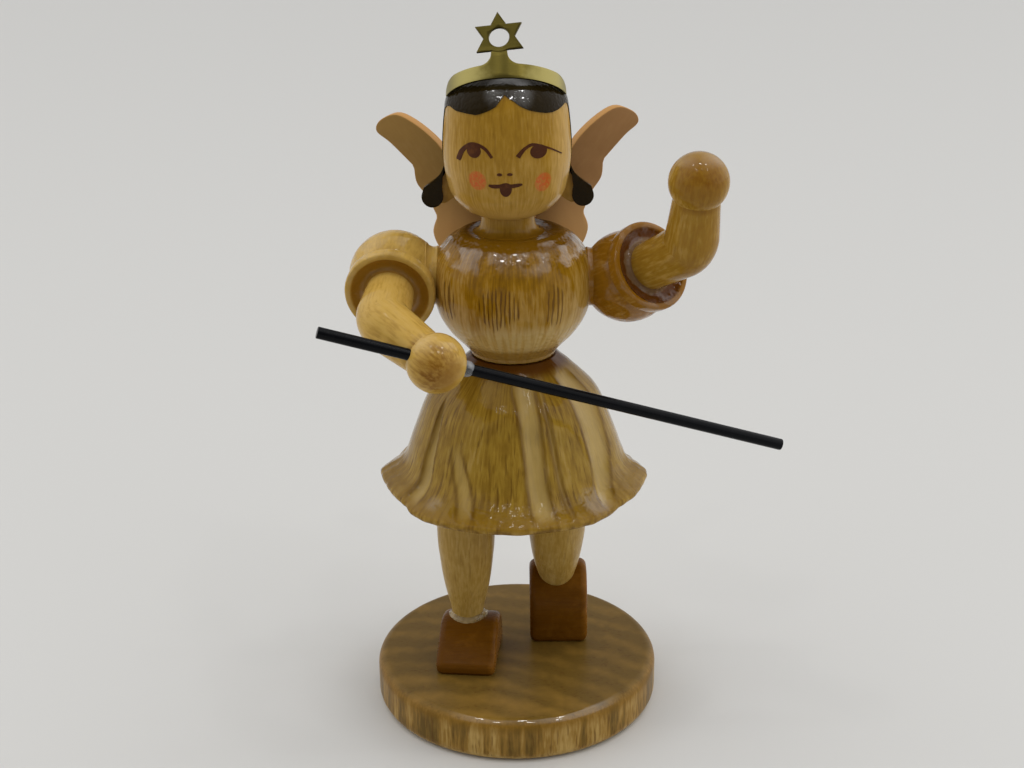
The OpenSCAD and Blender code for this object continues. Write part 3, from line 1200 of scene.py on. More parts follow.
@dataclass
class Base:
    """The turned disc that the figure stands on."""

    edge: float = 1.0
    strip: float = 0.3
    inner: float = 0.6
    spare: float = 0.002

    def build(self) -> None:
        """Makes the disc, with the rows of its side a strip away from the rounded edges."""
        high = box_mm("base_disc")[1]
        radius = high.x - self.spare
        rim = radius - self.edge
        wood = BaseWood(
            "base_end_grain", UP, pale=srgb(184, 152, 88), body=srgb(148, 113, 50), deep=srgb(104, 80, 33),
            gloss=0.34, ior=1.22, streaks=0.3, figure=0.3, ends=0.42, pores=0.5, ripples=0.012)
        Work("turned_base").turn([
            (0, 0), *arc((rim, self.edge), self.edge, -90, 0),
            *ruled((radius, self.edge + self.strip), (radius, high.z - self.edge - self.strip), 4),
            *arc((rim, high.z - self.edge), self.edge, 0, 90),
            (rim * self.inner, high.z), (0, high.z)]).hand_over(wood, Slot.BASE, "base_disc")


@dataclass
class Feet:
    """The shoes and the legs."""

    shoe_len: float = 8.1
    shoe_w: float = 5.6
    toe_h: float = 1.3
    shoe_h: float = 3.8
    heel_h: float = 2.9
    shoe_round: float = 0.7
    toe: dict[Side, Vector] = field(default_factory=lambda: {
        Side.RIGHT: Vector((-4.95, -5.5, 4.3)), Side.LEFT: Vector((4.15, 1.3, 3.95))})
    ankle: dict[Side, Vector] = field(default_factory=lambda: {
        Side.RIGHT: Vector((-4.7, 0, 8.3)), Side.LEFT: Vector((3.95, 3, 9.9))})
    toe_out: float = 6.0
    heel_lift: float = 56.0
    lean: float = 20.0
    hip_z: float = 24.9
    hip_spare: float = 2.0
    foot_h: float = 1.2
    calf: tuple[Pair, ...] = ((1.5, 0), (1.65, 0.9), (2.17, 3.2), (2.53, 5.8))
    thigh: Pair = (2.75, 9)
    glue: tuple[Pair, ...] = (
        (1.4, 0.36), (1.56, 0.34), (1.66, 0.22), (1.76, 0.09), (1.86, 0.02), (1.8, -0.3), (1.4, -0.4))
    glue_spread: float = 0.06

    def build(self) -> None:
        """Makes both shoes, both legs and the glue round the right ankle."""
        for side in Side:
            self.shoe(side)
            self.leg(side)
        self.ankle_glue()

    def instep(self) -> list[Pair]:
        """Gives the outline of a shoe's upper, from the toe to the heel."""
        return smooth([(0, 0.3), (0.05, self.toe_h * 0.7), (0.6, self.toe_h + 0.2), (2.6, self.shoe_h * 0.8),
                       (4.6, self.shoe_h), (self.shoe_len - 1, self.heel_h + 0.3),
                       (self.shoe_len, self.heel_h - 1.2)], 9)

    def shoe(self, side: Side) -> None:
        """Makes a shoe from a moulded strip.

        Args:
            side: Which foot it is for.
        """
        outline = [*self.instep(), *ruled((self.shoe_len, 0.6), (self.shoe_len, 0.0), 2),
                   *ruled((self.shoe_len - 0.5, 0.0), (0.2, 0.0), 20)]
        work = Work(f"{side.word}_shoe_shaped").mould(outline, self.shoe_w, self.shoe_round)
        turn = swing(-self.toe_out, "Z") if side is Side.RIGHT else swing(self.heel_lift, "X")
        work.put(Matrix.Translation(self.toe[side]) @ turn).cut(box_mm("base_disc")[1].z * UP, -UP)
        work.hand_over(
            Wood(f"{side.word}_shoe_stain", ACROSS, pale=srgb(140, 92, 30), body=srgb(98, 60, 10),
                 deep=srgb(82, 48, 8), pore=srgb(70, 38, 6), ends=-0.25, streaks=0.06, figure=0.3,
                 mottle=0.4, gloss=0.28, ior=1.14, ripples=0.012, seed=3.0 * side.value),
            Slot.SHOE, f"{side.word}_shoe")

    def leg_way(self, side: Side) -> Vector:
        """Gives a leg's direction from its ankle to the hip."""
        return heading(0, 90 - self.lean) if side is Side.LEFT else UP

    def leg(self, side: Side) -> None:
        """Turns a leg.

        Args:
            side: Which leg it is.
        """
        ankle, way = self.ankle[side], self.leg_way(side)
        top = (self.hip_z - ankle.z) / way.z + self.hip_spare
        outline = smooth([*self.calf, self.thigh, (self.thigh[0], top)])
        work = Work(f"{side.word}_leg_turned").turn([
            (0, -self.foot_h), (self.calf[0][0], -self.foot_h), *outline, (0, top)])
        work.put(aim(ankle, way)).cut(self.hip_z * UP, UP)
        work.hand_over(
            Wood(f"{side.word}_leg_wood", way, pale=srgb(192, 162, 98), body=srgb(164, 131, 62),
                 deep=srgb(130, 96, 32), streaks=0.24, mottle=0.3, gloss=0.3, ripples=0.012,
                 seed=5.0 + side.value),
            Slot.BODY, f"{side.word}_leg")

    def ankle_glue(self) -> None:
        """Lays the film of glue round the right ankle."""
        ankle, toe = self.ankle[Side.RIGHT], self.toe[Side.RIGHT]

        def settle(p: Vector) -> Vector:
            """Lays the film on the instep and spreads it towards the figure's left.

            Args:
                p: A point of the turned film.

            Returns:
                Its place in the frame.
            """
            wide = 1 + self.glue_spread * ease(0, self.glue[-2][0], p.x)
            upper = lookup(self.instep(), ankle.y + p.y - toe.y)[0]
            return Vector((ankle.x + p.x * wide, ankle.y + p.y * wide, toe.z + upper + p.z))

        Work("right_ankle_glue").turn(closed(self.glue), 72).shape(settle).hand_over(
            Glue("ankle_glue", srgb(150, 126, 82), srgb(164, 142, 100), 0.8), Slot.GLUE)


@dataclass(frozen=True)
class Flute:
    """One groove down the skirt, with its bearing and half width at heights over the hem."""

    course: tuple[Triple, ...]
    depth: float = 0.5
    foot: float = 0.9
    head: float = 11.6
    edge_w: float = 0.32

    def place(self, bearing: float, height: float, radius: float) -> Pair:
        """Gives how far a place is from the groove's middle, and the groove's half width."""
        middle, half = lookup(self.course, height)
        return abs(math.radians((bearing - middle + 180) % 360 - 180) * radius), half

    def run_out(self, height: float) -> float:
        """Gives how much of the groove is left towards its ends."""
        below = ease(self.foot - 0.35, self.foot + 0.5, height)
        return below * ease(self.head + 0.8, self.head - 1.2, height)

    def groove(self, bearing: float, height: float, radius: float) -> float:
        """Gives how deep the groove is at a place, as a share of its depth."""
        apart, half = self.place(bearing, height, radius)
        return (1 - (apart / half) ** 2) * self.run_out(height) if apart < half else 0.0

    def edge(self, bearing: float, height: float, radius: float) -> float:
        """Gives how near a place is to the groove's edge, from 0 to 1."""
        apart, half = self.place(bearing, height, radius)
        return ease(self.edge_w, 0.04, abs(apart - half)) * self.run_out(height)


@dataclass
class Skirt:
    """The turned and fluted bell of the skirt."""

    lip: float = 0.42
    hem_w: float = 1.3
    hem_top: Pair = (3.0, 0.9)
    hem_r: Pair = (9.0, 10.5)
    hollow_r: float = 8.9
    hollow_h: float = 2.2
    waist_r: float = 3.9
    full_sheen_depth: float = 0.3
    facets: int = 480
    flutes: tuple[Flute, ...] = (
        Flute(((1.0, 12.6, 1.05), (3.5, 11.4, 0.98), (5.7, 10.9, 0.94), (8.7, 10.2, 0.98),
               (10.7, 8.3, 1.05))),
        Flute(((1.0, 46.0, 0.95), (2.4, 50.5, 1.3), (4.8, 55.7, 1.7), (8.6, 57.0, 1.8),
               (11.0, 57.0, 1.3)), 0.45),
        Flute(((1.0, -52.0, 0.9), (2.3, -52.1, 0.86), (4.4, -53.7, 0.74), (7.4, -54.5, 0.45),
               (9.4, -57.0, 0.2)), head=9.2),
        Flute(((0.8, -21.6, 0.8), (3.7, -29.0, 0.8), (5.9, -35.0, 0.6)), 0.14, head=6.2),
        Flute(((1.2, 25.0, 0.2), (5.6, 22.9, 0.2), (10.0, 21.7, 0.2)), 0.08, head=10.6),
        *(Flute(((1.0, bearing, 1.1), (11.0, bearing - 2.0, 0.9)))
          for bearing in (112, 146, 180, -146, -112)))
    rim_cut: tuple[Pair, ...] = (
        (-180, 0.4), (-130, 0.4), (-120, 0.6), (-112, 0.85), (-106, 0.95), (-100, 0.65), (-95, 0.3),
        (-90, 0.02), (-85, 0.1), (-78, 0.3), (-65, 0.32), (-60, 0.3), (-54, 0.4), (-49, 0.15), (-40, 0),
        (0, 0.05), (10, 0.12), (20, 0.05), (34, 0), (42, 0.3), (50, 0.45), (56, 0.3), (62, 0.25), (75, 0.3),
        (82, 0.2), (86, 0.25), (90, 0.6), (95, 0.95), (100, 1.2), (106, 1.4), (112, 1.25), (120, 0.8),
        (130, 0.5), (180, 0.4))
    rim_lift: tuple[Pair, ...] = (
        (-180, 0.2), (-110, 0.3), (-75, 0.5), (-60, 0.45), (-54, 0.25), (-48, 0), (44, 0), (50, 0.25),
        (58, 0.4), (75, 0.45), (95, 0.4), (110, 0.3), (180, 0.2))

    def outline(self, radius: float, height: float) -> list[Pair]:
        """Gives the bell's outline from its hollow to its waist.

        Args:
            radius: Radius of the hem.
            height: Height of the bell.

        Returns:
            Radius and height of each point.
        """
        bell = smooth([
            (radius - 0.21, 0.784), (radius - 0.75, 1.15), (radius - 1.6, 1.75), (radius - 2.45, 2.9),
            (9.25, 5.1), (7.85, 8.55), (6.15, 10.55), (self.waist_r, height)], 8)
        return [(0, self.hollow_h), (self.hollow_r, self.hollow_h), (radius - self.hem_w, 0),
                *arc((radius - self.lip, self.lip), self.lip, -90, 60, 9), *bell[1:], (0, height)]

    def build(self) -> None:
        """Turns the bell and carves its flutes."""
        low, high = box_mm("skirt")
        radius = (high.x - low.x) / 2
        work = Work("skirt_carved").turn(self.outline(radius, high.z - low.z), self.facets)
        marks: dict[str, list[float]] = {"flute": [], "edge": []}

        def carve(p: Vector) -> Vector:
            """Moves one point of the bell and notes the groove there.

            Args:
                p: The turned point.

            Returns:
                The carved point.
            """
            out = math.hypot(p.x, p.y)
            bearing = math.degrees(math.atan2(p.x, -p.y))
            inside = out < self.waist_r * 0.9 or (p.z < self.hollow_h + 0.1 and out < self.hollow_r + 0.3)
            outside = 0.0 if inside else ease(0.3, 0.6, p.z)
            cut = bare = edge = 0.0
            for flute in self.flutes if outside else ():
                share = flute.groove(bearing, p.z, out)
                cut = max(cut, share * flute.depth)
                # how much painted sheen the flute gets, full where it is deep
                bare = max(bare, share * min(flute.depth / self.full_sheen_depth, 1))
                # where the painted shade along the flute's edge falls
                edge = max(edge, flute.edge(bearing, p.z, out))
            marks["flute"].append(min(bare * 1.2, 1) * outside)
            marks["edge"].append(edge * outside)
            if inside:
                return p
            hem = ease(*self.hem_top, p.z) * ease(*self.hem_r, out)
            around = Vector((math.sin(math.radians(bearing)), math.cos(math.radians(bearing)), 0))
            rim_cut = lookup(self.rim_cut, bearing)[0] + 0.06 * ripple(around, 14.0, 2.0)
            rim_lift = lookup(self.rim_lift, bearing)[0] + 0.05 * (1 + ripple(around, 9.0, 5.0))
            scale = 1 - max(cut * outside + hem * rim_cut, 0.0) / out
            return Vector((p.x * scale, p.y * scale, p.z + hem * rim_lift))

        work.shape(carve)
        for name, values in marks.items():
            work.object.data.attributes.new(name, "FLOAT", "POINT").data.foreach_set("value", values)
        work.put(Matrix.Translation(Vector((0, (low.y + high.y) / 2, low.z))))
        work.hand_over(
            SkirtWood("skirt_wood", UP, pale=srgb(184, 154, 90), body=srgb(154, 122, 42),
                      deep=srgb(114, 82, 18), streaks=0.3, figure=0.45, ends=0.3, pores=0.6, gloss=0.12,
                      sparkle=0.1, ripples=0.035, girth=8.0, seed=9.0),
            Slot.BODY, "skirt")


@dataclass
class Torso:
    """The turned barrel of the torso."""

    axis_y: float = -0.85
    waist_r: float = 3.9
    girth_r: float = 7.1
    bead: float = 0.5
    dish: float = 0.1

    def build(self) -> None:
        """Turns the torso."""
        low, high = box_mm("torso")
        height = high.z - low.z
        floor = height - self.dish
        bead = arc((self.waist_r - self.bead, self.bead), self.bead, -60, 0, 6)
        barrel = smooth([
            (self.waist_r + 0.1, 0.6), (4.6, 1.25), (5.75, 2.5), (self.girth_r - 0.4, 4.2),
            (self.girth_r, 6.5), (self.girth_r - 0.25, 8.8), (5.9, 10.4), (4.9, height - 0.28),
            (4.3, height - 0.03), (3.2, floor), (2.3, floor)], 8)
        work = Work("torso_turned").turn([(0, 0), (self.waist_r - 0.6, 0), *bead, *barrel, (0, floor)])
        work.put(Matrix.Translation(Vector((0, self.axis_y, low.z)))).hand_over(
            TorsoWood("torso_wood", UP, pale=srgb(186, 150, 80), body=srgb(148, 107, 18),
                      deep=srgb(108, 73, 8), streaks=0.3, figure=0.45, ripples=0.06, gloss=0.12, sparkle=1.5,
                      seed=2.0),
            Slot.BODY, "torso")


@dataclass
class Stroke:
    """One brush stroke on the face: places across and up from the chin, with half widths."""

    course: Sequence[Triple]

    @staticmethod
    def dab(across: float, up: float, half_w: float, half_h: float) -> Stroke:
        """Gives an oval dab of the brush."""
        angles = [math.radians(180 - 15 * i) for i in range(13)]
        return Stroke([(across + half_w * math.cos(a), up, max(half_h * math.sin(a), 0.02)) for a in angles])


@dataclass
class Head:
    """The turned head with its hair and its painted face."""

    middle: Vector = field(default_factory=lambda: Vector((-0.35, -0.85, 0)))
    chin: float = 1.5
    neck_r: float = 2.35
    neck_foot: float = -1.75
    head_r: float = 5.55
    head_h: float = 12.3
    web: tuple[Pair, ...] = ((5.0, 3.6), (5.45, 3.5), (6.0, 2.2), (6.2, 1.2), (5.6, 0.75), (4.6, 1.4))
    web_cut: float = 0.6
    flare_cut: float = 0.27
    hair_lift: float = 0.07
    hair_coat: float = 0.1
    hair_top: float = 10.6
    face_lift: float = 0.035
    face_coat: float = 0.06
    hairline: tuple[Pair, ...] = (
        (-180, 3.0), (-95, 3.2), (-93, 4.9), (-91.5, 6.0), (-88, 8.0), (-82, 9.3), (-74, 9.7), (-64, 9.8),
        (-53, 9.58), (-40, 9.53), (-29, 9.48), (-24, 9.6), (-16, 9.9), (-10, 10.2), (-5, 10.8), (-2, 11.1),
        (1, 10.9), (7, 10.6), (12, 10.25), (20, 9.9), (29, 9.67), (38, 9.5), (46, 9.47), (56, 9.6), (70, 9.9),
        (78, 9.75), (83, 9.3), (88, 8.0), (91.5, 6.0), (93, 4.9), (95, 3.2), (180, 3.0))
    cheeks: tuple[Pair, ...] = ((-27.8, 4.0), (34.3, 3.76))
    strokes: tuple[Stroke, ...] = (
        Stroke.dab(-2.76, 6.55, 0.57, 0.6),
        Stroke.dab(2.62, 6.45, 0.7, 0.58),
        Stroke([(-4.1, 5.6, 0.16), (-4.0, 5.85, 0.2), (-3.7, 6.5, 0.18), (-2.91, 7.1, 0.14),
                (-1.9, 6.82, 0.13), (-1.26, 6.05, 0.12)]),
        Stroke([(0.89, 6.1, 0.2), (1.2, 6.5, 0.17), (1.6, 6.85, 0.13), (2.25, 7.05, 0.12), (3.6, 6.55, 0.07),
                (4.6, 5.9, 0.04)]),
        Stroke.dab(-0.65, 4.64, 0.22, 0.13),
        Stroke.dab(0.21, 4.66, 0.24, 0.12),
        Stroke([(-1.57, 3.68, 0.08), (-1.2, 3.6, 0.16), (-0.6, 3.62, 0.17), (-0.14, 3.68, 0.24),
                (0.3, 3.62, 0.17), (0.9, 3.7, 0.14), (1.25, 3.76, 0.07)]),
        Stroke([(-0.14, 3.6, 0.5), (-0.14, 3.3, 0.5), (-0.14, 3.0, 0.42), (-0.14, 2.8, 0.26),
                (-0.14, 2.7, 0.1)]))

    def __post_init__(self) -> None:
        """Works out the outline over the chin, and the place of the chin in the frame."""
        self.profile = smooth([
            (self.neck_r, -0.1), (3.6, 0.5), (4.75, 1.7), (self.head_r - 0.3, 3.1), (self.head_r, 5.5),
            (self.head_r - 0.25, 9.0), (self.head_r - 0.5, 10.3), (self.head_r - 1.05, self.head_h - 1.1),
            (self.head_r - 1.95, self.head_h - 0.4), (self.head_r - 3.35, self.head_h - 0.1),
            (0.3, self.head_h)], 8)
        self.seat = Matrix.Translation(self.middle + (box_mm("torso")[1].z + self.chin) * UP)

    def build(self) -> None:
        """Makes the head, its hair and its face."""
        self.turn_head()
        self.lay_hair()
        self.paint_face()

    def radius(self, up: float) -> float:
        """Gives the head's radius at a height over the chin."""
        return lookup([(height, across) for across, height in self.profile], up)[0]

    def skin(self, bearing: float, up: float, lift: float = 0.0) -> Vector:
        """Gives a place over the head's surface, raised by the lift.

        Args:
            bearing: Bearing of the place.
            up: Its height over the chin.
            lift: How far it stands off the surface.

        Returns:
            The place, from the chin.
        """
        slope = self.radius(up + 0.05) - self.radius(up - 0.05)
        out = Vector((0.1, -slope)).normalized() * lift
        return heading(bearing, 0) * (self.radius(up) + out.x) + (up + out.y) * UP

    def turn_head(self) -> None:
        """Turns the head with its neck and the bare inner part of the flare."""
        neck = smooth([(3.3, -1.62), (2.9, -1.5), (2.55, -1.2), (self.neck_r + 0.05, -0.85),
                       (self.neck_r, -0.5)], 5)
        work = Work("head_turned").turn([
            (0, self.neck_foot), (neck[0][0], self.neck_foot), *neck, *self.profile, (0, self.head_h)])
        flare = Work("flare_web").turn(closed(self.web, 3)).cut(self.web_cut * BACK, -BACK)
        cheeks = tuple(self.seat @ self.skin(bearing, up) for bearing, up in self.cheeks)
        work.join([flare]).put(self.seat).hand_over(
            HeadWood("head_wood", UP, pale=srgb(192, 154, 80), body=srgb(157, 118, 35),
                     deep=srgb(120, 84, 16), streaks=0.2, figure=0.14, streak_scale=4.6, cheeks=cheeks,
                     ripples=0.012, axis=tuple(self.middle), girth=5.5, seed=4.0),
            Slot.BODY, "head")

    def lay_hair(self) -> None:
        """Lays the hair's paint over the top and back, and makes the flare's roll."""
        crest = self.head_h - 0.02
        crown = [(-across, height) for across, height in self.profile if height > 8]

        def coat(u: float, v: float) -> Vector:
            """Gives a place on the hair's coat, up the side for half of v and then over the top.

            Args:
                u: Share of the way round.
                v: Share of the way up and over.

            Returns:
                The place, from the chin.
            """
            bearing = 360 * u - 180
            foot = lookup(self.hairline, bearing)[0]
            start = max(foot, self.hair_top)
            if v < 0.5:
                return self.skin(bearing, foot + (start - foot) * 2 * v, self.hair_lift)
            share = 2 * v - 1
            if share > 0.97:
                return (crest + self.hair_lift) * UP
            up = lookup(crown, -self.radius(start) * (1 - share))[0]
            return self.skin(bearing, min(max(up, start), crest), self.hair_lift)

        shell = Work("hair_paint_coat").wrap(360, 48, coat).thicken(-self.hair_coat)
        r = self.head_r
        roll = [*smooth([(r - 0.25, 4.9), (r + 0.35, 3.4), (r + 1.8, 2.2)], 6),
                *arc((r + 1.05, 1.4), 0.95, 25, -190, 16), (5.75, 2.2), (5.66, 3.0), (5.5, 4.2)]
        flare = Work("hair_roll").turn([*roll, roll[0]]).cut(self.flare_cut * BACK, -BACK).round_over(0.12, 3)
        shell.join([flare]).put(self.seat).hand_over(
            Paint("hair_gloss", srgb(35, 26, 8), srgb(46, 36, 16), roughness=0.07, thinness=0.4, ripples=0.06,
                  ior=1.16, shine=self.seat @ self.skin(3, 11.3)), Slot.HAIR)

    def paint_face(self) -> None:
        """Paints the eyes, nose and mouth as thin coats on the head."""
        coats = []
        for i, stroke in enumerate(self.strokes):
            course = smooth(stroke.course, 5)

            def coat(u: float, v: float, course: Sequence[Sequence[float]] = course) -> Vector:
                """Gives a place on one stroke.

                Args:
                    u: Share of the way along.
                    v: Share of the way across.
                    course: Places and half widths along the stroke.

                Returns:
                    The place, from the chin.
                """
                at = u * (len(course) - 1)
                here = min(int(at), len(course) - 2)
                start, end = course[here], course[here + 1]
                across, up, half = (p + (q - p) * (at - here) for p, q in zip(start, end))
                side = Vector((start[1] - end[1], end[0] - start[0])).normalized() * half * (2 * v - 1)
                spot = Vector((across, up)) + side
                sine = max(min(spot.x / self.radius(spot.y), 0.99), -0.99)
                return self.skin(math.degrees(math.asin(sine)), spot.y, self.face_lift)

            work = Work(f"face_stroke_{i}").wrap(len(course) - 1, 6, coat)
            coats.append(work.thicken(-self.face_coat))
        coats[0].object.name = "face_paint_coat"
        coats[0].join(coats[1:]).put(self.seat).hand_over(
            Paint("face_brown", srgb(70, 34, 10), srgb(112, 66, 22), roughness=0.35, thinness=0.5,
                  ripples=0.005, ior=1.25), Slot.FACE)


@dataclass
class Crown:
    """The pressed brass crown with its star."""

    seat: Vector = field(default_factory=lambda: Vector((-0.35, -0.85, 57.87)))
    lean: float = 32.0
    turn: float = 6.0
    ring_r: float = 5.05
    sheet: float = 0.25
    band_w: float = 1.25
    reach: Pair = (-69.0, 79.0)
    tip: float = 1.9
    tip_w: float = 0.12
    stem_w: float = 1.3
    stem_top: float = 2.35
    fillet: float = 0.95
    star_z: float = 3.55
    star_r: float = 2.25
    star_turn: float = 3.0
    hole_r: float = 0.85

    def build(self) -> None:
        """Makes the band with its stem, and the pierced star."""
        band = Work("crown_pressed").wrap(420, 6, self.band).thicken(self.sheet)
        star = Work("crown_star").wrap(96, 4, self.star).thicken(self.sheet)
        place = Matrix.Translation(self.seat) @ swing(-self.lean, "X") @ swing(-self.turn, "Z")
        band.join([star]).clean().round_over(0.04, 2).put(place).hand_over(Brass(), Slot.BRASS, "crown")

    def band(self, u: float, v: float) -> Vector:
        """Gives a place on the bent band and its stem.

        Args:
            u: Share of the way round the band.
            v: Share of the way up.

        Returns:
            The place, from the crown's seat.
        """
        first, last = self.reach
        bearing = first + (last - first) * u
        across = abs(math.radians(bearing) * self.ring_r)
        end = math.radians(min(bearing - first, last - bearing)) * self.ring_r
        top = self.band_w
        half = self.stem_w / 2
        if across <= half:
            top = self.stem_top
        elif across < half + self.fillet:
            top = self.band_w + self.fillet - math.sqrt(self.fillet**2 - (half + self.fillet - across) ** 2)
            top = min(top, self.stem_top)
        if end < self.tip:
            round_tip = math.sqrt(max(1 - (1 - end / self.tip) ** 2, 0.0))
            top = self.band_w * (self.tip_w + (1 - self.tip_w) * round_tip)
        return heading(bearing, 0) * self.ring_r + top * v * UP

    def star(self, u: float, v: float) -> Vector:
        """Gives a place on the flat star, from its hole outwards.

        Args:
            u: Share of the way round.
            v: Share of the way outwards.

        Returns:
            The place, from the crown's seat.
        """
        angle = 360 * u
        off = math.radians(abs((angle + 30) % 60 - 30))
        waist = self.star_r / math.sqrt(3)
        edge = self.star_r * waist * math.sin(math.pi / 6) / (
            waist * math.sin(math.pi / 6 - off) + self.star_r * math.sin(off))
        if abs(angle - 180) < 30:
            edge = waist
        reach = self.hole_r + (edge - self.hole_r) * v
        way = math.radians(angle - self.star_turn)
        return Vector((reach * math.sin(way), -self.ring_r, self.star_z + reach * math.cos(way)))


@dataclass
class Wings:
    """The two flat wings in the back of the torso."""

    root: Vector = field(default_factory=lambda: Vector((0.1, 4.2, 35.25)))
    thickness: float = 1.2
    sweep: float = 21.0
    roll: float = 1.3
    foot: tuple[Pair, ...] = ((3.4, 5), (2, 5), (2, 10.5))
    scallops: tuple[tuple[Pair, ...], ...] = (
        ((4.1, 14), (6.7, 17.9), (10.1, 20.2), (12.1, 19.8), (12.7, 18.7), (11.3, 17.6), (9.25, 15.7)),
        ((9.1, 15.3), (8.9, 14), (7.9, 12.7), (7.1, 11.1)),
        ((7.1, 10.8), (7.5, 9.4), (6.8, 7.8), (5.2, 6.4)))
    body: dict[Side, Colour] = field(default_factory=lambda: {
        Side.RIGHT: srgb(150, 116, 60), Side.LEFT: srgb(152, 112, 68)})

    def build(self) -> None:
        """Saws both wings."""
        for side in Side:
            self.wing(side)

    def wing(self, side: Side) -> None:
        """Saws one wing.

        Args:
            side: Which wing it is.
        """
        scallops = (point for curve in self.scallops for point in smooth(curve))
        outline = [*self.foot[1:], *scallops, self.foot[0]]
        work = Work(f"{side.word}_wing_sawn")
        work.saw([(x, -self.thickness / 2, z) for x, z in outline], self.thickness * BACK).round_over(0.15, 3)
        turn = swing(-self.roll, "Y") @ Matrix.Diagonal((side.value, 1, 1, 1)) @ swing(self.sweep, "Z")
        work.put(Matrix.Translation(self.root) @ turn)
        work.hand_over(
            WingWood(f"{side.word}_wing_wood", Vector((side.value * 0.6, 0.2, 0.77)).normalized(),
                     pale=srgb(170, 134, 80), body=self.body[side], deep=srgb(136, 100, 52),
                     pore=srgb(110, 76, 40), pores=0.08, streaks=0.06, figure=0.08, ends=0.1, gloss=0.5,
                     ripples=0.006, plate=turn.to_3x3() @ BACK, seed=7.0 * side.value),
            Slot.WING, f"{side.word}_wing")


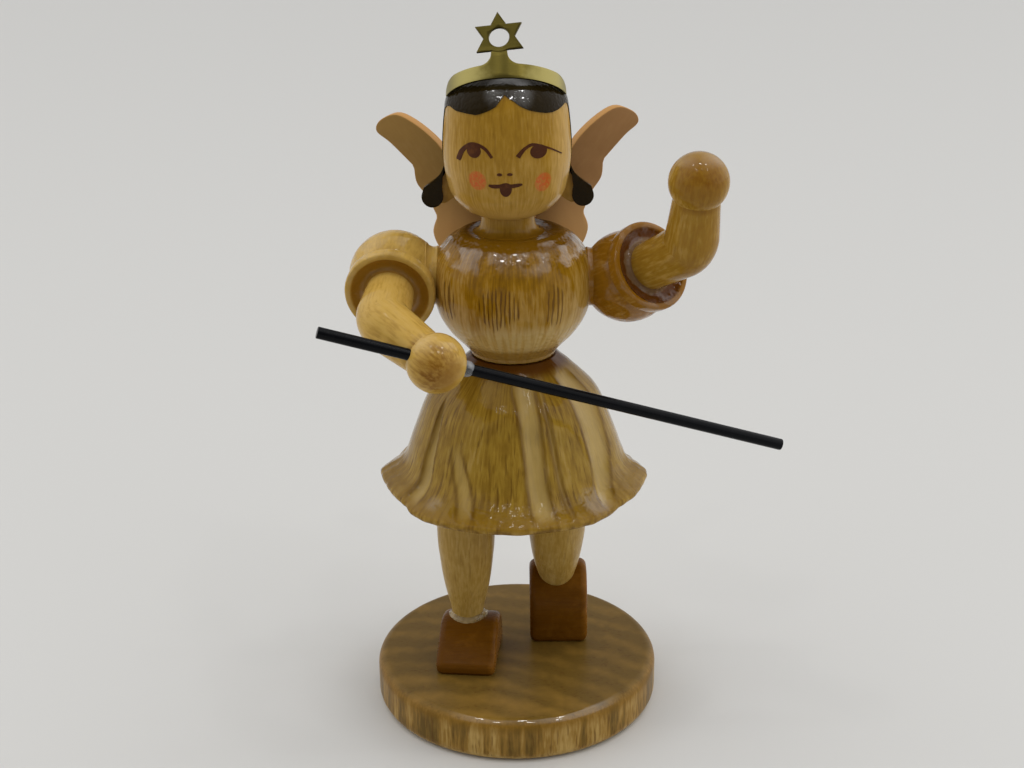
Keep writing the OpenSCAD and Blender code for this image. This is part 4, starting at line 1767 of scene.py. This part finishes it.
@dataclass
class Arm:
    """One arm: a puffed sleeve with its cuff, the upper arm, and the forearm with a ball hand."""

    side: Side
    puff: Vector
    upper: Pair
    fore: Pair
    upper_reach: float
    fore_reach: float
    sleeve_body: Colour
    bowl: Colour
    film: float
    arm_body: Colour
    puff_r: float = 4.1
    cuff_r: float = 4.0
    cuff_back: float = 2.35
    cuff_face: float = 3.6
    cuff_round: float = 0.3
    rim: float = 0.5
    bowl_floor: float = 0.9
    collar: tuple[Pair, ...] = (
        (2.0, 6.2), (2.62, 6.55), (2.6, 6.8), (2.6, 7.1), (2.75, 7.4), (3.0, 7.65), (2.2, 7.9))
    root: float = 1.2
    cuff_arm_r: float = 2.1
    elbow_r: float = 2.3
    bend: float = 2.35
    bend_steps: int = 12
    wrist_r: float = 2.0
    hand_r: float = 2.545

    def __post_init__(self) -> None:
        """Works out the elbow and the hand."""
        self.upper_way = heading(*self.upper)
        self.fore_way = heading(*self.fore)
        self.elbow = self.puff + self.upper_reach * self.upper_way
        self.hand = self.elbow + self.fore_reach * self.fore_way

    def build(self) -> None:
        """Makes the arm's pieces."""
        self.sleeve()
        self.upper_arm()
        self.forearm()

    def tones(self) -> dict[str, object]:
        """Gives the tones that both halves of the arm share."""
        return dict(pale=srgb(206, 170, 98), body=self.arm_body, deep=srgb(124, 80, 18), ends=0.1, pores=0.12,
                    streaks=0.18, gloss=0.16, ripples=0.03)

    def sleeve(self) -> None:
        """Turns the sleeve with its cuff and adds the lacquer's fillet at the shoulder."""
        word, soft, face = self.side.word, self.cuff_round, self.cuff_face
        outline = [
            *arc((0, 0), self.puff_r, -90, math.degrees(math.asin(self.cuff_back / self.puff_r)), 40),
            (math.sqrt(self.puff_r**2 - self.cuff_back**2), self.cuff_back),
            *arc((self.cuff_r - soft, self.cuff_back + soft), soft, -90, 0, 5),
            *arc((self.cuff_r - soft, face - soft), soft, 0, 90, 5),
            *smooth([(self.cuff_r - self.rim, face - 0.05), (3.2, face - 0.32), (2.75, face - 0.55),
                     (2.4, face - 0.58), (2.2, face - 0.4), (2.12, face - 0.15)], 5),
            (1.6, face - self.bowl_floor), (0, face - self.bowl_floor)]
        work = Work(f"{word}_sleeve_turned").turn(outline).put(aim(self.puff, self.upper_way))
        fillet = Work("shoulder_fillet").turn(closed(self.collar), 96)
        fillet.put(aim(Vector((0, self.puff.y, self.puff.z)), self.side.value * ACROSS))
        work.join([fillet]).hand_over(
            CuffWood(f"{word}_sleeve_wood", self.upper_way, pale=srgb(208, 172, 104), body=self.sleeve_body,
                     ends=0.1, gloss=0.1, streaks=0.1, figure=0.2, mottle=0.2, pores=0.06, ripples=0.06,
                     sparkle=0.8, middle=self.puff, bowl=self.bowl, film=self.film,
                     seed=6.0 * self.side.value),
            Slot.BODY, f"{word}_sleeve")

    def limb(self, name: str, way: Vector, other: Vector, outline: Sequence[Pair]) -> Work:
        """Shapes one half of the arm, outwards from the middle of its bend.

        Args:
            name: Name of the piece.
            way: Direction from the elbow along this half.
            other: Direction from the elbow along the other half.
            outline: Radius and distance from the elbow of each point, past the bend.

        Returns:
            The piece.
        """
        inner = (other - way * way.dot(other)).normalized()
        across = way.cross(inner)
        turn = (math.pi - way.angle(other)) / 2
        centre = self.elbow + (way + other).normalized() * self.bend / math.cos(turn)
        rings = []
        for i in range(self.bend_steps):
            angle = turn * (1 - i / self.bend_steps)
            inward = inner * math.cos(angle) + way * math.sin(angle)
            rings.append((centre - inward * self.bend, inward, self.elbow_r))
        rings.insert(0, (*rings[0][:2], 0.0))
        rings += [(self.elbow + way * far, inner, radius) for radius, far in outline]

        def surface(u: float, v: float) -> Vector:
            """Gives a place on one of the rings.

            Args:
                u: Share of the way round.
                v: Share of the way along the rings.

            Returns:
                The place.
            """
            place, inward, radius = rings[round(v * (len(rings) - 1))]
            angle = math.tau * u
            return place + (inward * math.cos(angle) + across * math.sin(angle)) * radius

        return Work(name).wrap(TURNS, len(rings) - 1, surface)

    def taper(self, end: Pair) -> list[Pair]:
        """Gives the straight outline from where the bend ends to a radius and distance."""
        start = self.bend * math.tan(self.upper_way.angle(self.fore_way) / 2)
        return ruled((self.elbow_r, start), end, 12)

    def upper_arm(self) -> None:
        """Makes the upper arm."""
        word = self.side.word
        root = self.upper_reach - self.cuff_face + self.root
        outline = [*self.taper((self.cuff_arm_r, root)), (0, root)]
        self.limb(f"{word}_upper_arm_shaped", -self.upper_way, self.fore_way, outline).hand_over(
            Wood(f"{word}_upper_arm_wood", self.upper_way, **self.tones(), seed=2.0 * self.side.value),
            Slot.BODY, f"{word}_upper_arm")

    def forearm(self) -> None:
        """Makes the forearm with its hand."""
        word = self.side.word
        wrist = -math.degrees(math.acos(self.wrist_r / self.hand_r))
        ball = arc((0, self.fore_reach), self.hand_r, wrist, 90, 40)
        outline = [*self.taper(ball[0]), *ball[1:]]
        self.limb(f"{word}_forearm_shaped", self.fore_way, -self.upper_way, outline).hand_over(
            HandWood(f"{word}_forearm_wood", self.fore_way, **self.tones(), middle=self.hand,
                     seed=8.0 * self.side.value),
            Slot.BODY, f"{word}_forearm")


@dataclass
class Rod:
    """The black rod through the right hand, with its bead of glue."""

    hand: Vector
    way: Vector = field(default_factory=lambda: heading(98.7, -18))
    shift: Vector = field(default_factory=lambda: Vector((0, -0.2, 0.25)))
    radius: float = 0.5
    end_round: float = 0.07
    length: float = 41.7
    butt: float = 10.1
    bead_at: float = 2.75
    bead: tuple[Pair, ...] = (
        (0.3, -0.5), (0.58, -0.44), (0.68, -0.15), (0.66, 0.1), (0.58, 0.32), (0.5, 0.42), (0.3, 0.45))

    def build(self) -> None:
        """Makes the rod and the bead."""
        grip = self.hand + self.shift
        soft = self.end_round
        rod = Work("rod_cut").turn([
            (0, 0), *arc((self.radius - soft, soft), soft, -90, 0, 4),
            *arc((self.radius - soft, self.length - soft), soft, 0, 90, 4), (0, self.length)], 48)
        rod.put(aim(grip - self.butt * self.way, self.way)).hand_over(
            Paint("rod_black", srgb(7, 8, 11), srgb(16, 18, 22), ripples=0.01, ior=1.2), Slot.ROD, "rod")
        bead = Work("rod_glue_bead").turn(closed(self.bead), 48)
        bead.shape(lambda p: p * (1 + 0.12 * ripple(p, 1.3)))
        bead.put(aim(grip + self.bead_at * self.way, self.way)).hand_over(
            Glue("rod_glue", srgb(112, 114, 116), srgb(160, 163, 166), 0.65), Slot.GLUE, "rod_glue")


@dataclass
class Studio:
    """The floor, the light and the camera."""

    floor_size: float = 4.0
    floor: Colour = srgb(207, 206, 203)
    floor_gloss: float = 0.55
    front: float = 0.2
    back: float = 0.5
    boxes: float = 0.95
    box_side: float = 0.8
    box_way: Triple = (0.1, 0.0, 0.6)
    box_edge: Pair = (0.45, 0.95)
    lamp_rows: tuple[tuple[Vector, float], ...] = (
        (Vector((0.09, -0.47, 0.88)), 0.07), (Vector((0.0, -0.1, 1.0)), 0.075))
    lamp_offsets: tuple[float, ...] = (-0.15, 0.02, 0.18)
    lamp_size: float = 0.018
    lamp_reach: float = 0.5
    lamp_target: float = 40.0
    eye: Vector = field(default_factory=lambda: Vector((-0.16, -132.3, 81.9)))
    pitch: float = 20.75
    tilt: float = -0.66
    lens: float = 54.14
    sensor: float = 36.0
    clip: float = 5.0

    def build(self) -> None:
        """Sets the stage."""
        bpy.context.scene.view_settings.view_transform = "Standard"
        self.lay_floor()
        self.light_world()
        for way, power in self.lamp_rows:
            for offset in self.lamp_offsets:
                self.hang_lamp(way, offset, power)
        self.set_camera()

    def lay_floor(self) -> None:
        """Lays a plain pale floor."""
        bpy.ops.object.select_all(action="DESELECT")
        bpy.ops.mesh.primitive_plane_add(size=self.floor_size)
        floor = bpy.context.object
        floor.name = "floor"
        floor.data.materials.append(Plain("pale_floor", self.floor, self.floor_gloss).material())

    def light_world(self) -> None:
        """Lights the scene with a soft box high on each side, in a room that is darker in front."""
        world = bpy.data.worlds.new("studio")
        world.use_nodes = True
        bpy.context.scene.world = world
        graph = Graph(world.node_tree)
        way = graph.node("ShaderNodeTexCoord").outputs["Generated"]
        behind = graph.reading("DOT_PRODUCT", way, BACK).rise(-0.5, 0.3)
        across = graph.reading("DOT_PRODUCT", way, ACROSS).size() * self.box_side
        boxes = (across + graph.reading("DOT_PRODUCT", way, self.box_way)).rise(*self.box_edge)
        level = self.front + behind * (self.back - self.front) + boxes * self.boxes
        back = graph.node("ShaderNodeBackground", {}, {"Color": (1, 1, 1, 1), "Strength": level})
        graph.node("ShaderNodeOutputWorld", {}, {"Surface": back.outputs[0]})

    def hang_lamp(self, way: Vector, offset: float, power: float) -> None:
        """Hangs one lamp of a row.

        Args:
            way: Direction of the row's middle from the figure.
            offset: How far along the row the lamp hangs, in metres.
            power: The lamp's power.
        """
        target = self.lamp_target * MM * UP
        place = target + way.normalized() * self.lamp_reach + offset * ACROSS
        bpy.ops.object.light_add(type="AREA", location=place)
        lamp = bpy.context.object
        lamp.rotation_euler = (target - place).to_track_quat("-Z", "Y").to_euler()
        lamp.data.shape = "RECTANGLE"
        lamp.data.size = self.lamp_size * 2
        lamp.data.size_y = self.lamp_size
        lamp.data.energy = power

    def set_camera(self) -> None:
        """Sets the camera where the photograph was taken from."""
        bpy.ops.object.camera_add()
        camera = bpy.context.object
        turn = swing(90 - self.pitch, "X") @ swing(self.tilt, "Z")
        camera.matrix_world = Matrix.Translation(self.eye * MM) @ turn
        camera.data.sensor_fit = "HORIZONTAL"
        camera.data.sensor_width = self.sensor
        camera.data.lens = self.lens
        camera.data.clip_start = self.clip * MM
        bpy.context.scene.camera = camera


def dress_dowels(nodes: dict[str, bpy.types.Object]) -> None:
    """Gives the hidden dowels their wood.

    Args:
        nodes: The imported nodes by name.
    """
    grains = {"waist_dowel": UP, "right_shoulder_dowel": ACROSS, "left_shoulder_dowel": ACROSS}
    for name, grain in grains.items():
        nodes[name].data.materials.clear()
        nodes[name].data.materials.append(Wood(f"{name}_wood", grain, gloss=0.5).material())


def main() -> None:
    """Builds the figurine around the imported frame."""
    logging.basicConfig(level=logging.INFO, format="%(message)s")
    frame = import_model()
    right_arm = Arm(
        Side.RIGHT, puff=Vector((-10.45, -0.5, 42.4)), upper=(-5, -11.5), fore=(49, -20), upper_reach=8.2,
        fore_reach=6.7, sleeve_body=srgb(196, 159, 78), bowl=srgb(146, 103, 28), film=0.1,
        arm_body=srgb(196, 158, 76))
    left_arm = Arm(
        Side.LEFT, puff=Vector((10.25, -0.7, 42.2)), upper=(38, 28.8), fore=(11, 75), upper_reach=8.9,
        fore_reach=6.2, sleeve_body=srgb(144, 97, 18), bowl=srgb(98, 54, 8), film=0.36,
        arm_body=srgb(152, 114, 36))
    assemblies = (Studio(), Base(), Feet(), Skirt(), Torso(), Head(), Crown(), Wings(), right_arm, left_arm,
                  Rod(right_arm.hand))
    for assembly in assemblies:
        assembly.build()
    dress_dowels(frame["nodes"])
    bpy.context.view_layer.update()


if __name__ == "__main__":
    main()
